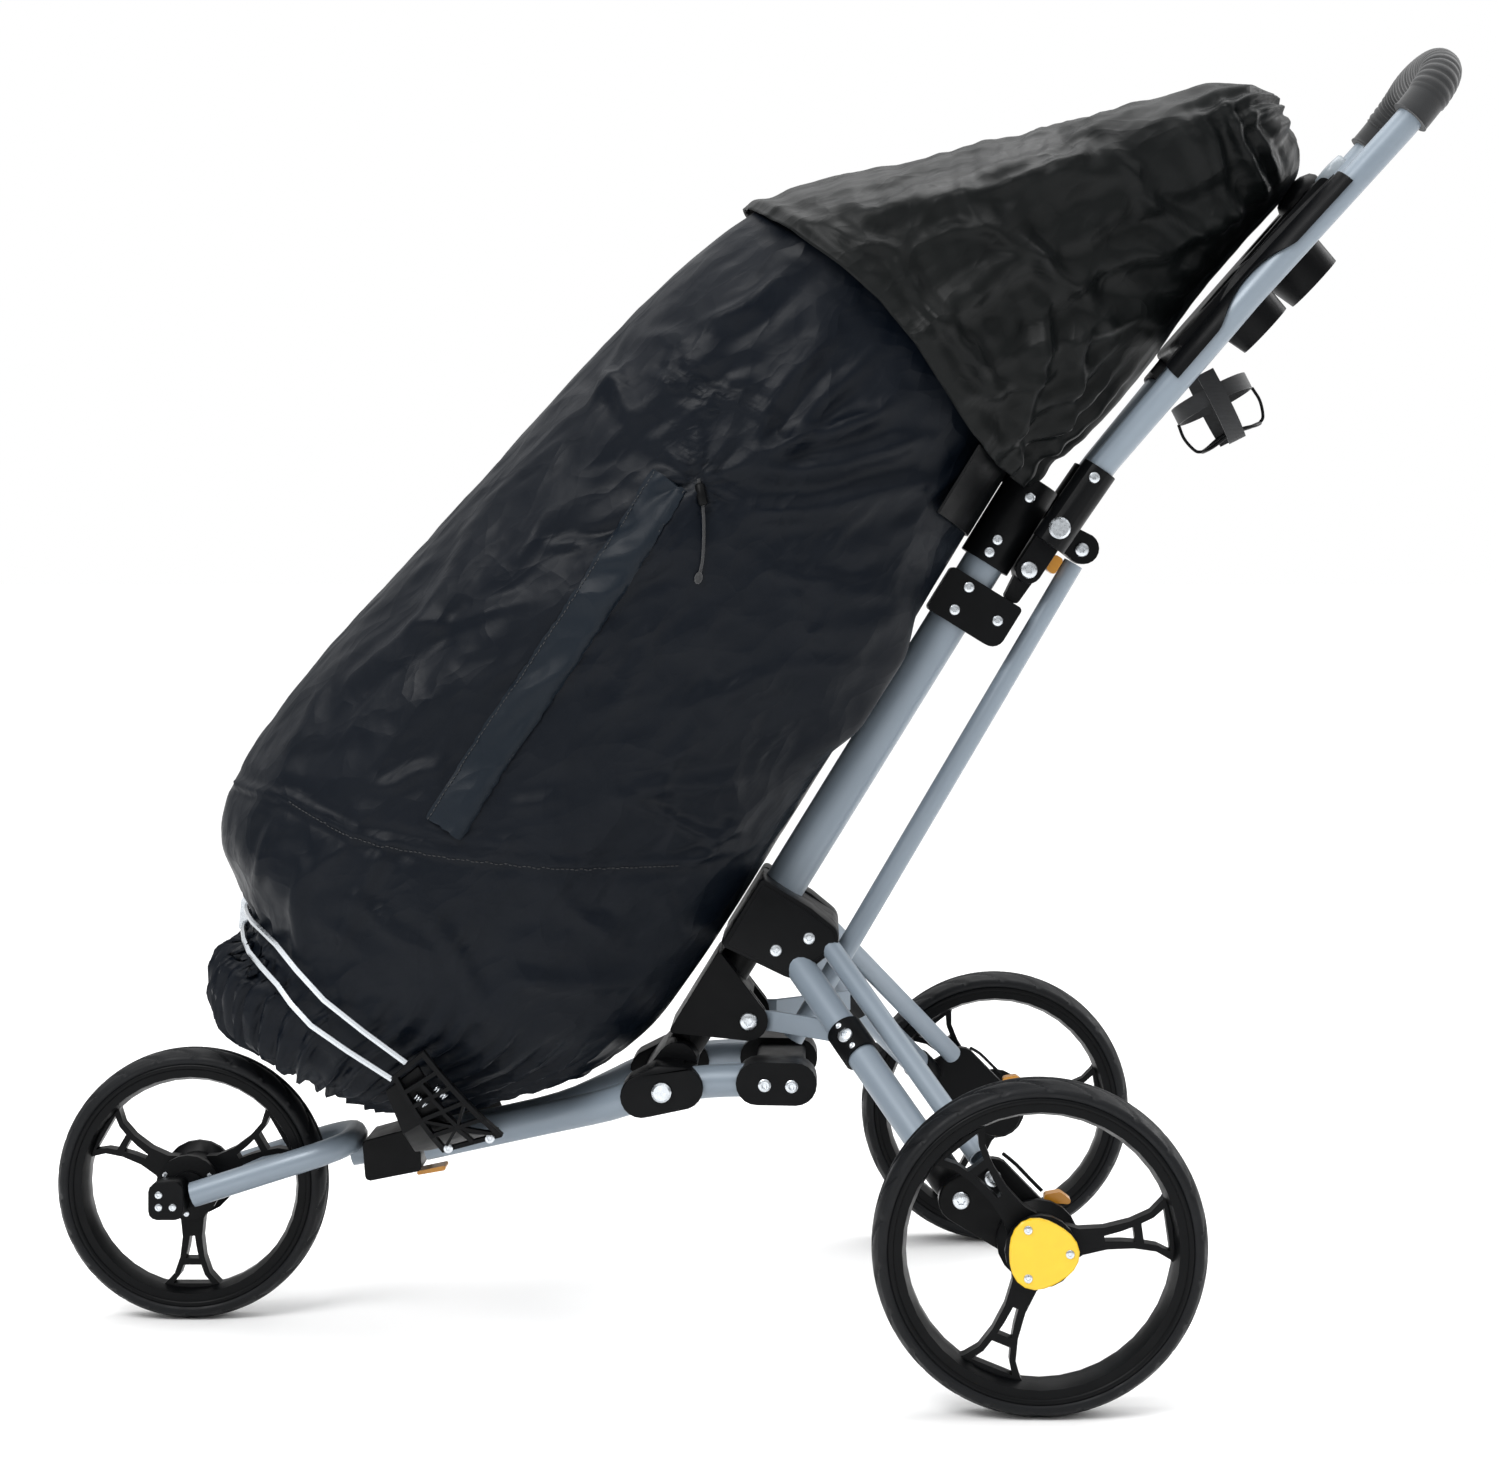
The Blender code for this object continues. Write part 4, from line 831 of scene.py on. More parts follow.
class CART_OT_handle(bpy.types.Operator):
    """Makes the ribbed grip and the console's edges and controls"""
    bl_idname = "golf_cart.handle"
    bl_label = "Handle"

    def execute(self, context):
        half = [flipped(p, -1) for p in GRIP_ROUTE]
        route = smooth_line(half + [flipped(p, -1) for p in half[:-1][::-1]], 14)
        grip = new_piece("ribbed_grip", swept("ribbed_grip", route, 0.0182, 36, grip_radius),
                         FINISH_OF_SLOT["foam"], "handle", smooth=70)
        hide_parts("grip")
        for side, sign in SIDES:
            new_piece(f"console_skirt_{side}", console_skirt(sign), FINISH_OF_SLOT["plastic"], "handle",
                      smooth=50)
        straps = new_piece("bottle_straps", bottle_straps(), FINISH_OF_SLOT["webbing"], "handle",
                           smooth=50)
        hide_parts("bottle_holder")
        new_piece("bottle_ring", bottle_ring(), FINISH_OF_SLOT["plastic"], "handle", smooth=50)
        run = (Vector((0.5690, 0.0, 1.0640)) - Vector((0.4369, 0.0, 0.9190))).normalized()
        rise = Vector((-run.z, 0.0, run.x))
        base = Vector((0.4369, 0.0, 0.9200)) + run * 0.113 + rise * 0.020
        dome = [base + rise * h for h in (0.0, 0.004, 0.009, 0.013, 0.015)]
        radii = (0.0240, 0.0240, 0.0210, 0.0130, 0.0020)
        new_piece("console_knob", stepped_bar("console_knob", dome, radii, 36),
                  FINISH_OF_SLOT["plastic"], "handle", smooth=60)
        ring_base = base + run * 0.026 - rise * 0.006 + Vector((0.0, -0.044, 0.0))
        ring = [ring_base + rise * h for h in (0.0, 0.006, 0.008, 0.009)]
        oval = (0.0165, 0.0165, 0.0150, 0.0060)
        new_piece("console_button", stepped_bar("console_button", ring, oval, 36),
                  FINISH_OF_SLOT["button_grey"], "handle", smooth=60)
        return {"FINISHED"}


def bottle_straps():
    """The elastic band round the bottle and the straps that cross under it."""
    top, down, side, out = BOTTLE_TOP, BOTTLE_DOWN, BOTTLE_SIDE, BOTTLE_OUT

    def ribbon(route, faces_of, width, thick):
        """A flat strap along a route, whose width lies along the given direction at each place."""
        points, faces = [], []
        for point, (wide, normal) in zip(route, faces_of):
            for s, d in ((-1, -1), (1, -1), (1, 1), (-1, 1)):
                points.append(point + wide * s * width / 2 + normal * d * thick / 2)
        for i in range(len(route) - 1):
            for k in range(4):
                n = (k + 1) % 4
                faces.append((i * 4 + k, i * 4 + n, i * 4 + 4 + n, i * 4 + 4 + k))
        faces += [(0, 1, 2, 3), tuple(len(points) - 4 + k for k in range(4))]
        return mesh_from("ribbon", points, faces)

    band, turn = [], []
    for k in range(57):
        angle = 2 * math.pi * k / 56
        way = side * math.cos(angle) + out * math.sin(angle)
        band.append(top + down * (0.021 + 0.004 * math.cos(angle)) + way * 0.0365)
        turn.append((down, way))
    parts = [ribbon(band, turn, 0.0150, 0.0016)]
    for way, over in ((side, out), (-side, out)):
        route, turn = [], []
        for k in range(25):
            drop = -0.004 + 0.068 * k / 24
            reach = 0.0372 + 0.004 * math.sin(math.pi * k / 24) - 0.009 * (k / 24) ** 6
            route.append(top + down * drop + way * reach)
            turn.append((over, way))
        parts.append(ribbon(route, turn, 0.0165, 0.0014))
    return joined("bottle_straps", parts)


def bottle_ring():
    """The wire ring under the bottle, with the loops that join it to the band."""
    top, down, side, out = BOTTLE_TOP, BOTTLE_DOWN, BOTTLE_SIDE, BOTTLE_OUT
    parts = []
    for sign in (1, -1):
        loop = []
        for k in range(33):
            angle = math.pi * (k / 32 - 0.5)
            way = out * math.cos(angle) * sign + side * math.sin(angle)
            sag = abs(math.sin(angle)) ** 6
            loop.append(top + down * (0.0600 - 0.004 * sag) + way * (0.0290 + 0.003 * sag))
        parts.append(swept("loop", loop, 0.0017, 12))
        bend = ((0.0600, 0.0288), (0.0560, 0.0345), (0.0420, 0.0385), (0.0280, 0.0374))
        rise = [top + down * d + out * sign * r for d, r in bend]
        parts.append(swept("rise", smooth_line(rise, 6), 0.0015, 10))
    return joined("bottle_ring", parts)


def ribbed_bracket(sign):
    """The ladder-like face of the bracket that holds the hoop's wires."""
    corners = {"upper_front": (-0.3022, 0.2443), "upper_rear": (-0.2782, 0.2640),
               "lower_front": (-0.2652, 0.1745), "lower_rear": (-0.2165, 0.1873)}
    corners = {key: Vector((x, 0.0, z)) for key, (x, z) in corners.items()}

    def at(down, over):
        """A place on the face: down from its top and over from its front edge, as shares."""
        front = corners["upper_front"].lerp(corners["lower_front"], down)
        point = front.lerp(corners["upper_rear"].lerp(corners["lower_rear"], down), over)
        return Vector((point.x, -(0.1500 - 0.036 * down ** 2.4), point.z))

    def bar(start, end, width, deep):
        run = (end - start).normalized()
        side = run.cross(Vector((0.0, 1.0, 0.0))).normalized() * width / 2
        into = Vector((0.0, deep / 2, 0.0))
        points = [p + s * side + d * into for p in (start - run * width * 0.4, end + run * width * 0.4)
                  for s, d in ((-1, -1), (1, -1), (1, 1), (-1, 1))]
        faces = [(0, 1, 2, 3), (4, 5, 6, 7)] + [(k, (k + 1) % 4, 4 + (k + 1) % 4, 4 + k) for k in range(4)]
        return mesh_from("bar", [flipped(p, -sign) for p in points], faces)

    downs = (0.0, 0.20, 0.38, 0.56, 0.78, 1.0)
    parts = [bar(at(a, over), at(b, over), 0.0042, 0.0095)
             for over in (0.0, 1.0) for a, b in zip(downs, downs[1:])]
    parts += [bar(at(down, 0.0), at(down, 1.0), 0.0036, 0.0090) for down in downs]
    parts += [bar(at(a, 0.48), at(b, 0.52), 0.0032, 0.0085) for a, b in zip(downs[1:], downs[2:])]
    middle = at(0.78, 0.5)
    crossed = ((at(0.56, 0.0), middle), (middle, at(1.0, 1.0)), (at(1.0, 0.0), middle), (at(0.56, 1.0), middle))
    parts += [bar(start, end, 0.0026, 0.0080) for start, end in crossed]
    return joined("ribbed_bracket", parts)


def coil(name, centre, axis, radius, length, turns, wire):
    """A short wire spring."""
    axis = Vector(axis).normalized()
    side = axis.orthogonal().normalized()
    other = axis.cross(side)
    route = []
    for k in range(turns * 14 + 1):
        angle = 2 * math.pi * k / 14
        route.append(Vector(centre) + axis * length * (k / (turns * 14) - 0.5)
                     + side * radius * math.cos(angle) + other * radius * math.sin(angle))
    return swept(name, route, wire, 8)


class CART_OT_trim(bpy.types.Operator):
    """Makes the hub cheeks, the sleeves on the leg tubes, springs and bracket ribs"""
    bl_idname = "golf_cart.trim"
    bl_label = "Trim"

    def execute(self, context):
        plastic, steel = FINISH_OF_SLOT["plastic"], FINISH_OF_SLOT["steel"]
        cheek = hull_outline([(*column_xz(0.2010, -0.0190), 0.0045), (*column_xz(0.1990, 0.0270), 0.0070),
                              (BRACE_PIN.x, BRACE_PIN.z, 0.0150), (LEG_PIN.x, LEG_PIN.z, 0.0175),
                              (*column_xz(0.1400, -0.0190), 0.0045)])
        for side, sign in SIDES:
            parts = [slab("cheek", cheek, 0.0362 * sign, 0.0740 * sign, 0.0030)]
            rim = hull_outline([(*column_xz(0.1985, -0.0165), 0.0030), (*column_xz(0.1965, 0.0245), 0.0050),
                                (BRACE_PIN.x - 0.001, BRACE_PIN.z, 0.0120),
                                (LEG_PIN.x, LEG_PIN.z + 0.001, 0.0145),
                                (*column_xz(0.1430, -0.0165), 0.0030)])
            parts.append(slab("cheek_face", rim, 0.0735 * sign, 0.0752 * sign, 0.0008))
            new_piece(f"hub_cheek_{side}", joined("hub_cheek", parts), plastic, "hub", smooth=40)
            leg, brace, run = (flipped(v, sign) for v in (LEG_PIN, BRACE_PIN, LEG_RUN))
            foot = [leg + run * s for s in (0.855, 0.858, 0.925, 0.950, 0.968, 0.972)]
            radii = (0.0141, 0.0149, 0.0149, 0.0141, 0.0103, 0.0073)
            new_piece(f"leg_foot_{side}", stepped_bar("foot", foot, radii), plastic, f"leg_{side}")
            for name, pin, radius in (("leg", leg, LEG_RADIUS), ("brace", brace, BRACE_RADIUS)):
                head = [pin + run * s for s in (-0.030, -0.024, 0.012, 0.018)]
                widths = (radius - 0.0040, radius + 0.0008, radius + 0.0008, radius + 0.0004)
                new_piece(f"{name}_head_{side}", stepped_bar("head", head, widths), plastic, f"{name}_{side}")
            new_piece(f"hoop_bracket_ribs_{side}", ribbed_bracket(sign), plastic, "front_frame",
                      smooth=35)
            springs = [coil("spring", (x, 0.1470 * sign, z), (0.72, 0.0, -0.69), 0.0030, 0.0120, 5, 0.0007)
                       for x, z in ((-0.2810, 0.2230), (-0.2640, 0.2300))]
            new_piece(f"hoop_springs_{side}", joined("hoop_springs", springs), steel, "front_frame",
                      smooth=60)
        return {"FINISHED"}


# Cloth


def run_lengths(points):
    """How far along a line each of its points lies."""
    return np.concatenate([[0], np.cumsum(np.linalg.norm(np.diff(points, axis=0), axis=1))])


def beside(line):
    """The direction across a flat line at each of its points."""
    ahead = np.gradient(line, axis=0)
    ahead /= np.linalg.norm(ahead, axis=1, keepdims=True)
    return np.stack([-ahead[:, 1], ahead[:, 0]], axis=1)


def spaced_stations(stations, rows):
    """Rows of stations, evenly spaced along the piece, on smooth curves through the given ones."""
    dense = np.array(smooth_line(stations, 24))
    middle = (dense[:, :2] + dense[:, 2:4]) / 2
    length = run_lengths(middle)
    at = np.linspace(0, length[-1], rows)
    return np.stack([np.interp(at, length, dense[:, k]) for k in range(dense.shape[1])], axis=1)


def cloth_grid(stations, rows, columns, power):
    """Places (along, behind, y) of a cloth tube, row by row round it. Column 0 is behind."""
    s = spaced_stations(stations, rows)
    angle = np.linspace(0, 2 * math.pi, columns, endpoint=False)
    c, n = np.cos(angle), np.sin(angle)
    c = np.sign(c) * np.abs(c) ** (2 / power)
    n = np.sign(n) * np.abs(n) ** (2 / power)
    centre_along, centre_behind = (s[:, 0] + s[:, 2]) / 2, (s[:, 1] + s[:, 3]) / 2
    half_along, half_behind = (s[:, 2] - s[:, 0]) / 2, (s[:, 3] - s[:, 1]) / 2
    along = centre_along[:, None] + half_along[:, None] * c
    behind = centre_behind[:, None] + half_behind[:, None] * c
    y = s[:, 4][:, None] * n * (1 - s[:, 5][:, None] * c)
    return np.stack([along, behind, y], axis=2)


def to_row_frame(grid):
    place = FOLD_PIVOT + grid[..., :1] * ALONG + grid[..., 1:2] * BEHIND
    place[..., 1] = grid[..., 2]
    return place


def outward(place):
    """Unit normals of a grid that closes round its columns."""
    round_it = np.roll(place, -1, axis=1) - np.roll(place, 1, axis=1)
    down_it = np.gradient(place, axis=0)
    normal = np.cross(round_it, down_it)
    normal /= np.linalg.norm(normal, axis=2, keepdims=True) + 1e-12
    inside = place.mean(axis=1, keepdims=True)
    sign = np.sign(((place - inside) * normal).sum(axis=2).mean())
    return normal * sign


def smoothstep(value, low, high):
    t = np.clip((value - low) / (high - low), 0, 1)
    return t * t * (3 - 2 * t)


def crumple(place, size, seed, waves=9, stretch=0.0, run=(0.66, 0.0, 0.75)):
    """Sharp-edged creases, as cloth has that was folded small: bent planes of folds, laid over each other."""
    rng = np.random.default_rng(seed)
    run = np.array(run)
    place = place - stretch * (place @ run)[..., None] * run
    warp = np.zeros_like(place)
    for _ in range(5):
        direction = rng.normal(size=3)
        direction /= np.linalg.norm(direction) * size * rng.uniform(2.0, 4.5)
        warp += np.sin(place @ direction + rng.uniform(0, 6.28))[..., None] * rng.normal(size=3) * size * 0.55
    bent = place + warp
    height = np.zeros(place.shape[:-1])
    for _ in range(waves):
        direction = rng.normal(size=3)
        direction /= np.linalg.norm(direction) * size * rng.uniform(0.8, 2.4)
        phase = bent @ direction + rng.uniform(0, 1)
        ridge = 1 - np.abs((phase % 1.0) * 2 - 1) * 2
        patch = np.sin(place @ (rng.normal(size=3) * 0.8 / size) + rng.uniform(0, 6.28)) * 0.5 + 0.5
        height += ridge * patch
    return height / waves * 2.2


def pressed_folds(grid, folds):
    """Height of long folds, each a rounded ridge with one sharper flank."""
    height = np.zeros(grid.shape[:-1])
    flat = grid[..., :2]
    for a0, b0, a1, b1, width, tall in folds:
        start, end = np.array((a0, b0)), np.array((a1, b1))
        run = end - start
        share = ((flat - start) @ run) / (run @ run)
        across = ((flat - start) @ np.array((-run[1], run[0]))) / math.sqrt(run @ run)
        bend = across + 0.25 * width * np.sin(share * 7 + a0 * 90)
        flank = np.where(bend > 0, width * 0.55, width)
        taper = smoothstep(share, -0.15, 0.25) * (1 - smoothstep(share, 0.75, 1.15))
        height += tall * np.exp(-(bend / flank) ** 2) * taper
        height -= tall * 0.45 * np.exp(-((bend + width * 1.5) / width) ** 2) * taper
    return height


def scattered_folds(seed, count, along, behind, lean):
    """Extra folds at chance places within limits, leaning mostly one way."""
    rng = np.random.default_rng(seed)
    folds = []
    for _ in range(count):
        a, b = rng.uniform(*along), rng.uniform(*behind)
        turn = lean + rng.normal() * 0.55
        length = rng.uniform(0.04, 0.12)
        folds.append((a, b, a + length * math.cos(turn), b + length * math.sin(turn),
                      rng.uniform(0.005, 0.010), rng.uniform(0.0018, 0.0050)))
    return folds


def distance_to_line(grid, line):
    """How far each place is, in the side view, from a line of (along, behind) points."""
    nearest = np.full(grid.shape[:-1], 9.0)
    for a, b in zip(line, line[1:]):
        a, b = np.array(a), np.array(b)
        share = np.clip(((grid[..., :2] - a) @ (b - a)) / ((b - a) @ (b - a)), 0, 1)
        nearest = np.minimum(nearest, np.linalg.norm(grid[..., :2] - a - share[..., None] * (b - a), axis=2))
    return nearest


def pressed_in(place, wires, gap):
    """The cloth drawn in where wires lie on it, so that it stays this far under their centres."""
    spots = np.zeros(len(wires.vertices) * 3)
    wires.vertices.foreach_get("co", spots)
    spots = spots.reshape(-1, 3)
    low, high = spots.min(axis=0) - 0.03, spots.max(axis=0) + 0.03
    near = np.all((place > low) & (place < high), axis=2)
    cloth, normal = place[near], outward(place)[near]
    drop = np.zeros(len(cloth))
    for a in range(0, len(spots), 3):
        away = cloth - spots[a]
        above = (away * normal).sum(axis=1)
        sideways = np.linalg.norm(away - above[:, None] * normal, axis=1)
        share = np.exp(-(sideways / 0.013) ** 4)
        drop = np.maximum(drop, np.clip(above + gap, 0, 0.03) * share * (above < 0.022))
    place = place.copy()
    place[near] = cloth - normal * drop[:, None]
    return place


def cloth_mesh(name, place, thickness, close_start):
    """A cloth with thickness from a grid that closes round its columns, with lengths in metres as its UV."""
    rows, columns = place.shape[:2]
    inner = place - outward(place) * thickness
    points = [tuple(p) for p in place.reshape(-1, 3)] + [tuple(p) for p in inner.reshape(-1, 3)]
    under = rows * columns
    faces = []
    for i in range(rows - 1):
        for k in range(columns):
            n = (k + 1) % columns
            a, b, c, d = i * columns + k, i * columns + n, (i + 1) * columns + n, (i + 1) * columns + k
            faces.append((a, b, c, d))
            faces.append((under + a, under + d, under + c, under + b))
    last = (rows - 1) * columns
    for k in range(columns):
        n = (k + 1) % columns
        faces.append((last + k, last + n, under + last + n, under + last + k))
        if not close_start:
            faces.append((k, under + k, under + n, n))
    if close_start:
        faces.append(tuple(range(columns))[::-1])
        faces.append(tuple(under + k for k in range(columns)))
    mesh = mesh_from(name, points, faces)
    around = run_lengths(place[rows // 2])
    down = run_lengths(place[:, columns // 4])
    layer = mesh.uv_layers.new(name="UVMap")
    index = np.zeros(len(mesh.loops), np.int32)
    mesh.loops.foreach_get("vertex_index", index)
    index %= under
    uv = np.stack([around[index % columns], down[index // columns]], axis=1).astype(np.float32)
    layer.data.foreach_set("uv", uv.ravel())
    return mesh


def surface_lookup(grid, place):
    """A function that gives the place and normal on the cloth's left side nearest to (along, behind)."""
    left = grid[..., 2] < -0.02
    flat = grid[left][:, :2]
    spots, normals = place[left], outward(place)[left]

    def find(along, behind):
        gaps = np.linalg.norm(flat - np.array((along, behind)), axis=1)
        near = np.argsort(gaps)[:6]
        weight = 1 / (gaps[near] + 0.0005)
        weight /= weight.sum()
        normal = (normals[near] * weight[:, None]).sum(axis=0)
        return (spots[near] * weight[:, None]).sum(axis=0), normal / np.linalg.norm(normal)

    return find


def sewn_strip(name, find, line, width, lift, thick):
    """A flat strip laid on the cloth along a line of (along, behind) points."""
    line = np.array(smooth_line(line, 22))
    across = np.linspace(-0.5, 0.5, 9)
    top, low = [], []
    for point, out in zip(line, beside(line)):
        for share in across:
            place, normal = find(*(point + out * share * width))
            puff = lift * (1 - abs(2 * share) ** 8 * 0.8) * (1 + 1.1 * share)
            top.append(place + normal * (puff + thick))
            low.append(place + normal * puff * 0.2)
    rows, columns = len(line), len(across)
    points = top + low
    under = rows * columns
    faces = []
    for i in range(rows - 1):
        for k in range(columns - 1):
            a, d = i * columns + k, (i + 1) * columns + k
            b, c = a + 1, d + 1
            faces += [(a, b, c, d), (under + a, under + d, under + c, under + b)]
    edge = list(range(columns)) + [i * columns + columns - 1 for i in range(1, rows)]
    edge += [(rows - 1) * columns + k for k in range(columns - 2, -1, -1)]
    edge += [i * columns for i in range(rows - 2, 0, -1)]
    for a, b in zip(edge, edge[1:] + edge[:1]):
        faces.append((a, b, under + b, under + a))
    mesh = mesh_from(name, points, faces)
    layer = mesh.uv_layers.new(name="UVMap")
    for loop in mesh.loops:
        at = loop.vertex_index % under
        layer.data[loop.index].uv = (at % columns * width / 8, at // columns * 0.004)
    return mesh


def seam_places(find, line, pitch, offset=0.0):
    """Places for stitches: every pitch along a line on the cloth, pointing along it."""
    line = np.array(smooth_line(line, 30))
    spots = []
    for point, out in zip(line, beside(line)):
        place, normal = find(*(point + out * offset))
        spots.append(place + normal * 0.0006)
    spots = np.array(spots)
    length = run_lengths(spots)
    at = np.arange(pitch / 2, length[-1], pitch)
    path = np.stack([np.interp(at, length, spots[:, k]) for k in range(3)], axis=1)
    step = np.gradient(path, axis=0)
    step /= np.linalg.norm(step, axis=1, keepdims=True)
    return [(p, d, 1.0) for p, d in zip(path, step)]


class CART_OT_rain_cover(bpy.types.Operator):
    """Makes the rain cover with its folds, gathered base, flap, seams and drawcord"""
    bl_idname = "golf_cart.rain_cover"
    bl_label = "Rain cover"

    def execute(self, context):
        settings = context.scene.cart_cloth
        cloth = FINISH_OF_SLOT["cover_cloth"]
        grid = cloth_grid(COVER_STATIONS, 176, 250, 2.3)
        place = to_row_frame(grid)
        along, behind, y = grid[..., 0], grid[..., 1], grid[..., 2]
        to_side = smoothstep(np.abs(y), 0.05, 0.12)
        left = y < 0
        near_folds = list(COVER_FOLDS) + scattered_folds(5, 44, (-0.03, 0.60), (-0.42, -0.06), 0.4)
        far_folds = list(COVER_FOLDS[::2]) + scattered_folds(8, 40, (-0.02, 0.60), (-0.42, -0.06), -0.3)
        height = np.where(left, pressed_folds(grid, near_folds), pressed_folds(grid, far_folds)) * to_side
        calm = 1 - 0.35 * smoothstep(behind, -0.22, -0.12) * smoothstep(along, 0.16, 0.26)
        height += settings.crumple * crumple(place, 0.044, 3, stretch=0.62) * calm
        small = crumple(place, 0.020, 12, stretch=0.45, run=(0.90, 0.0, 0.43))
        height += settings.crumple * 0.6 * small * calm
        height += 0.0050 * crumple(place, 0.130, 21, stretch=0.5)
        # Cloth pulled to the drawcord puckers in rays round its hole
        ray = np.arctan2(behind - CORD_HOLE[1], along - CORD_HOLE[0])
        reach = np.hypot(behind - CORD_HOLE[1], along - CORD_HOLE[0])
        pull = np.exp(-(reach / 0.045) ** 2) * np.where(left, 1.0, 0.0)
        height += pull * (0.0035 * np.cos(9 * ray) - 0.004)
        seam = distance_to_line(grid, CROSS_SEAM)
        height += 0.0022 * np.exp(-(seam / 0.0035) ** 2) - 0.0018 * np.exp(-((seam - 0.008) / 0.005) ** 2)
        # The elastic draws the base into pleats, most of all in front of the hoop
        angle = np.linspace(0, 2 * math.pi, grid.shape[1], endpoint=False)[None, :]
        base = 1 - smoothstep(along - 0.22 * (behind + 0.40), -0.115, -0.055)
        pleat = np.sin(angle * settings.gathers + 1.8 * np.sin(angle * 5) + along * 60)
        pleat += 0.6 * np.sin(angle * settings.gathers * 1.6 + along * 95 + 2.0)
        height += base * (0.0034 * pleat + 0.0030 * crumple(place, 0.020, 31))
        height *= 1 - 0.85 * smoothstep(behind, -0.075, -0.040) * smoothstep(along, 0.0, 0.05)
        wrap = np.exp(-((np.abs(y) - 0.088) / 0.038) ** 2) * smoothstep(behind, -0.150, -0.055)
        wrap *= smoothstep(along, 0.284, 0.370) * (1 - smoothstep(along, 0.430, 0.520))
        place = place + outward(place) * height[..., None] + 0.034 * wrap[..., None] * BEHIND
        place = pressed_in(place, frame["nodes"]["bag_hoop"].data, 0.0052)
        cover = new_piece("cover_cloth", cloth_mesh("cover_cloth", place, settings.thickness, True), cloth,
                          "bag", smooth=0)
        cover.data.shade_smooth()
        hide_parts("rain_cover")
        find = surface_lookup(grid, place)
        strip = sewn_strip("cover_flap", find, FLAP_LINE, settings.flap_width, 0.0036, 0.0009)
        # The flap's finish is the cover's cloth painted lighter, a painted highlight on the strip
        flap = new_piece("cover_flap", strip, FINISH_OF_SLOT["flap_cloth_painted_highlight"], "bag", smooth=60)
        self.sew(find, settings)
        self.drawcord(find)
        return {"FINISHED"}

    def sew(self, find, settings):
        """Rows of stitches along the flap's edges and the cross seam."""
        tree = scatter_tree("stitch_on_points")
        stitch = turned_shape("stitch", ((0.00010, -0.0015), (0.00034, -0.0009), (0.00040, 0.0),
                                         (0.00034, 0.0009), (0.00010, 0.0015)), sides=6)
        places = []
        half = settings.flap_width / 2 - 0.0025
        for offset in (-half, half):
            places += [(p + np.array((0.0, -0.0022, 0.0)), d, s)
                       for p, d, s in seam_places(find, FLAP_LINE, 0.0042, offset)]
        places += seam_places(find, CROSS_SEAM[1:-1], 0.0042, 0.0040)
        thread = FINISH_OF_SLOT["webbing"]
        mesh = scattered("cover_stitches", tree, places, stitch, thread)
        new_piece("cover_stitches", mesh, thread, "bag", smooth=0)
        bpy.data.objects.remove(stitch, do_unlink=True)

    def drawcord(self, find):
        """The cord that draws the cover in, with its barrel lock."""
        spots = []
        for along, behind in CORD_LINE:
            place, normal = find(along, behind)
            spots.append(Vector(place) + Vector(normal) * 0.0032)
        route = smooth_line(spots, 8)
        cord = new_piece("drawcord", swept("drawcord", route, 0.00125, 10), FINISH_OF_SLOT["webbing"], "bag",
                         smooth=60)
        top, end = spots[0], spots[-1]
        drop = (spots[1] - spots[0]).normalized()
        lock_route = [top + drop * s for s in (0.004, 0.0055, 0.0215, 0.023)]
        wide = (0.0030, 0.0044, 0.0044, 0.0032)
        lock = new_piece("cord_lock", stepped_bar("cord_lock", lock_route, wide, 20),
                         FINISH_OF_SLOT["plastic"], "bag")
        knot_run = (spots[-1] - spots[-2]).normalized()
        knot_route = [end + knot_run * s for s in (-0.004, -0.002, 0.001, 0.004, 0.006)]
        bulge = (0.0014, 0.0028, 0.0034, 0.0028, 0.0012)
        knot = new_piece("cord_knot", stepped_bar("cord_knot", knot_route, bulge, 16),
                         FINISH_OF_SLOT["webbing"], "bag", smooth=60)


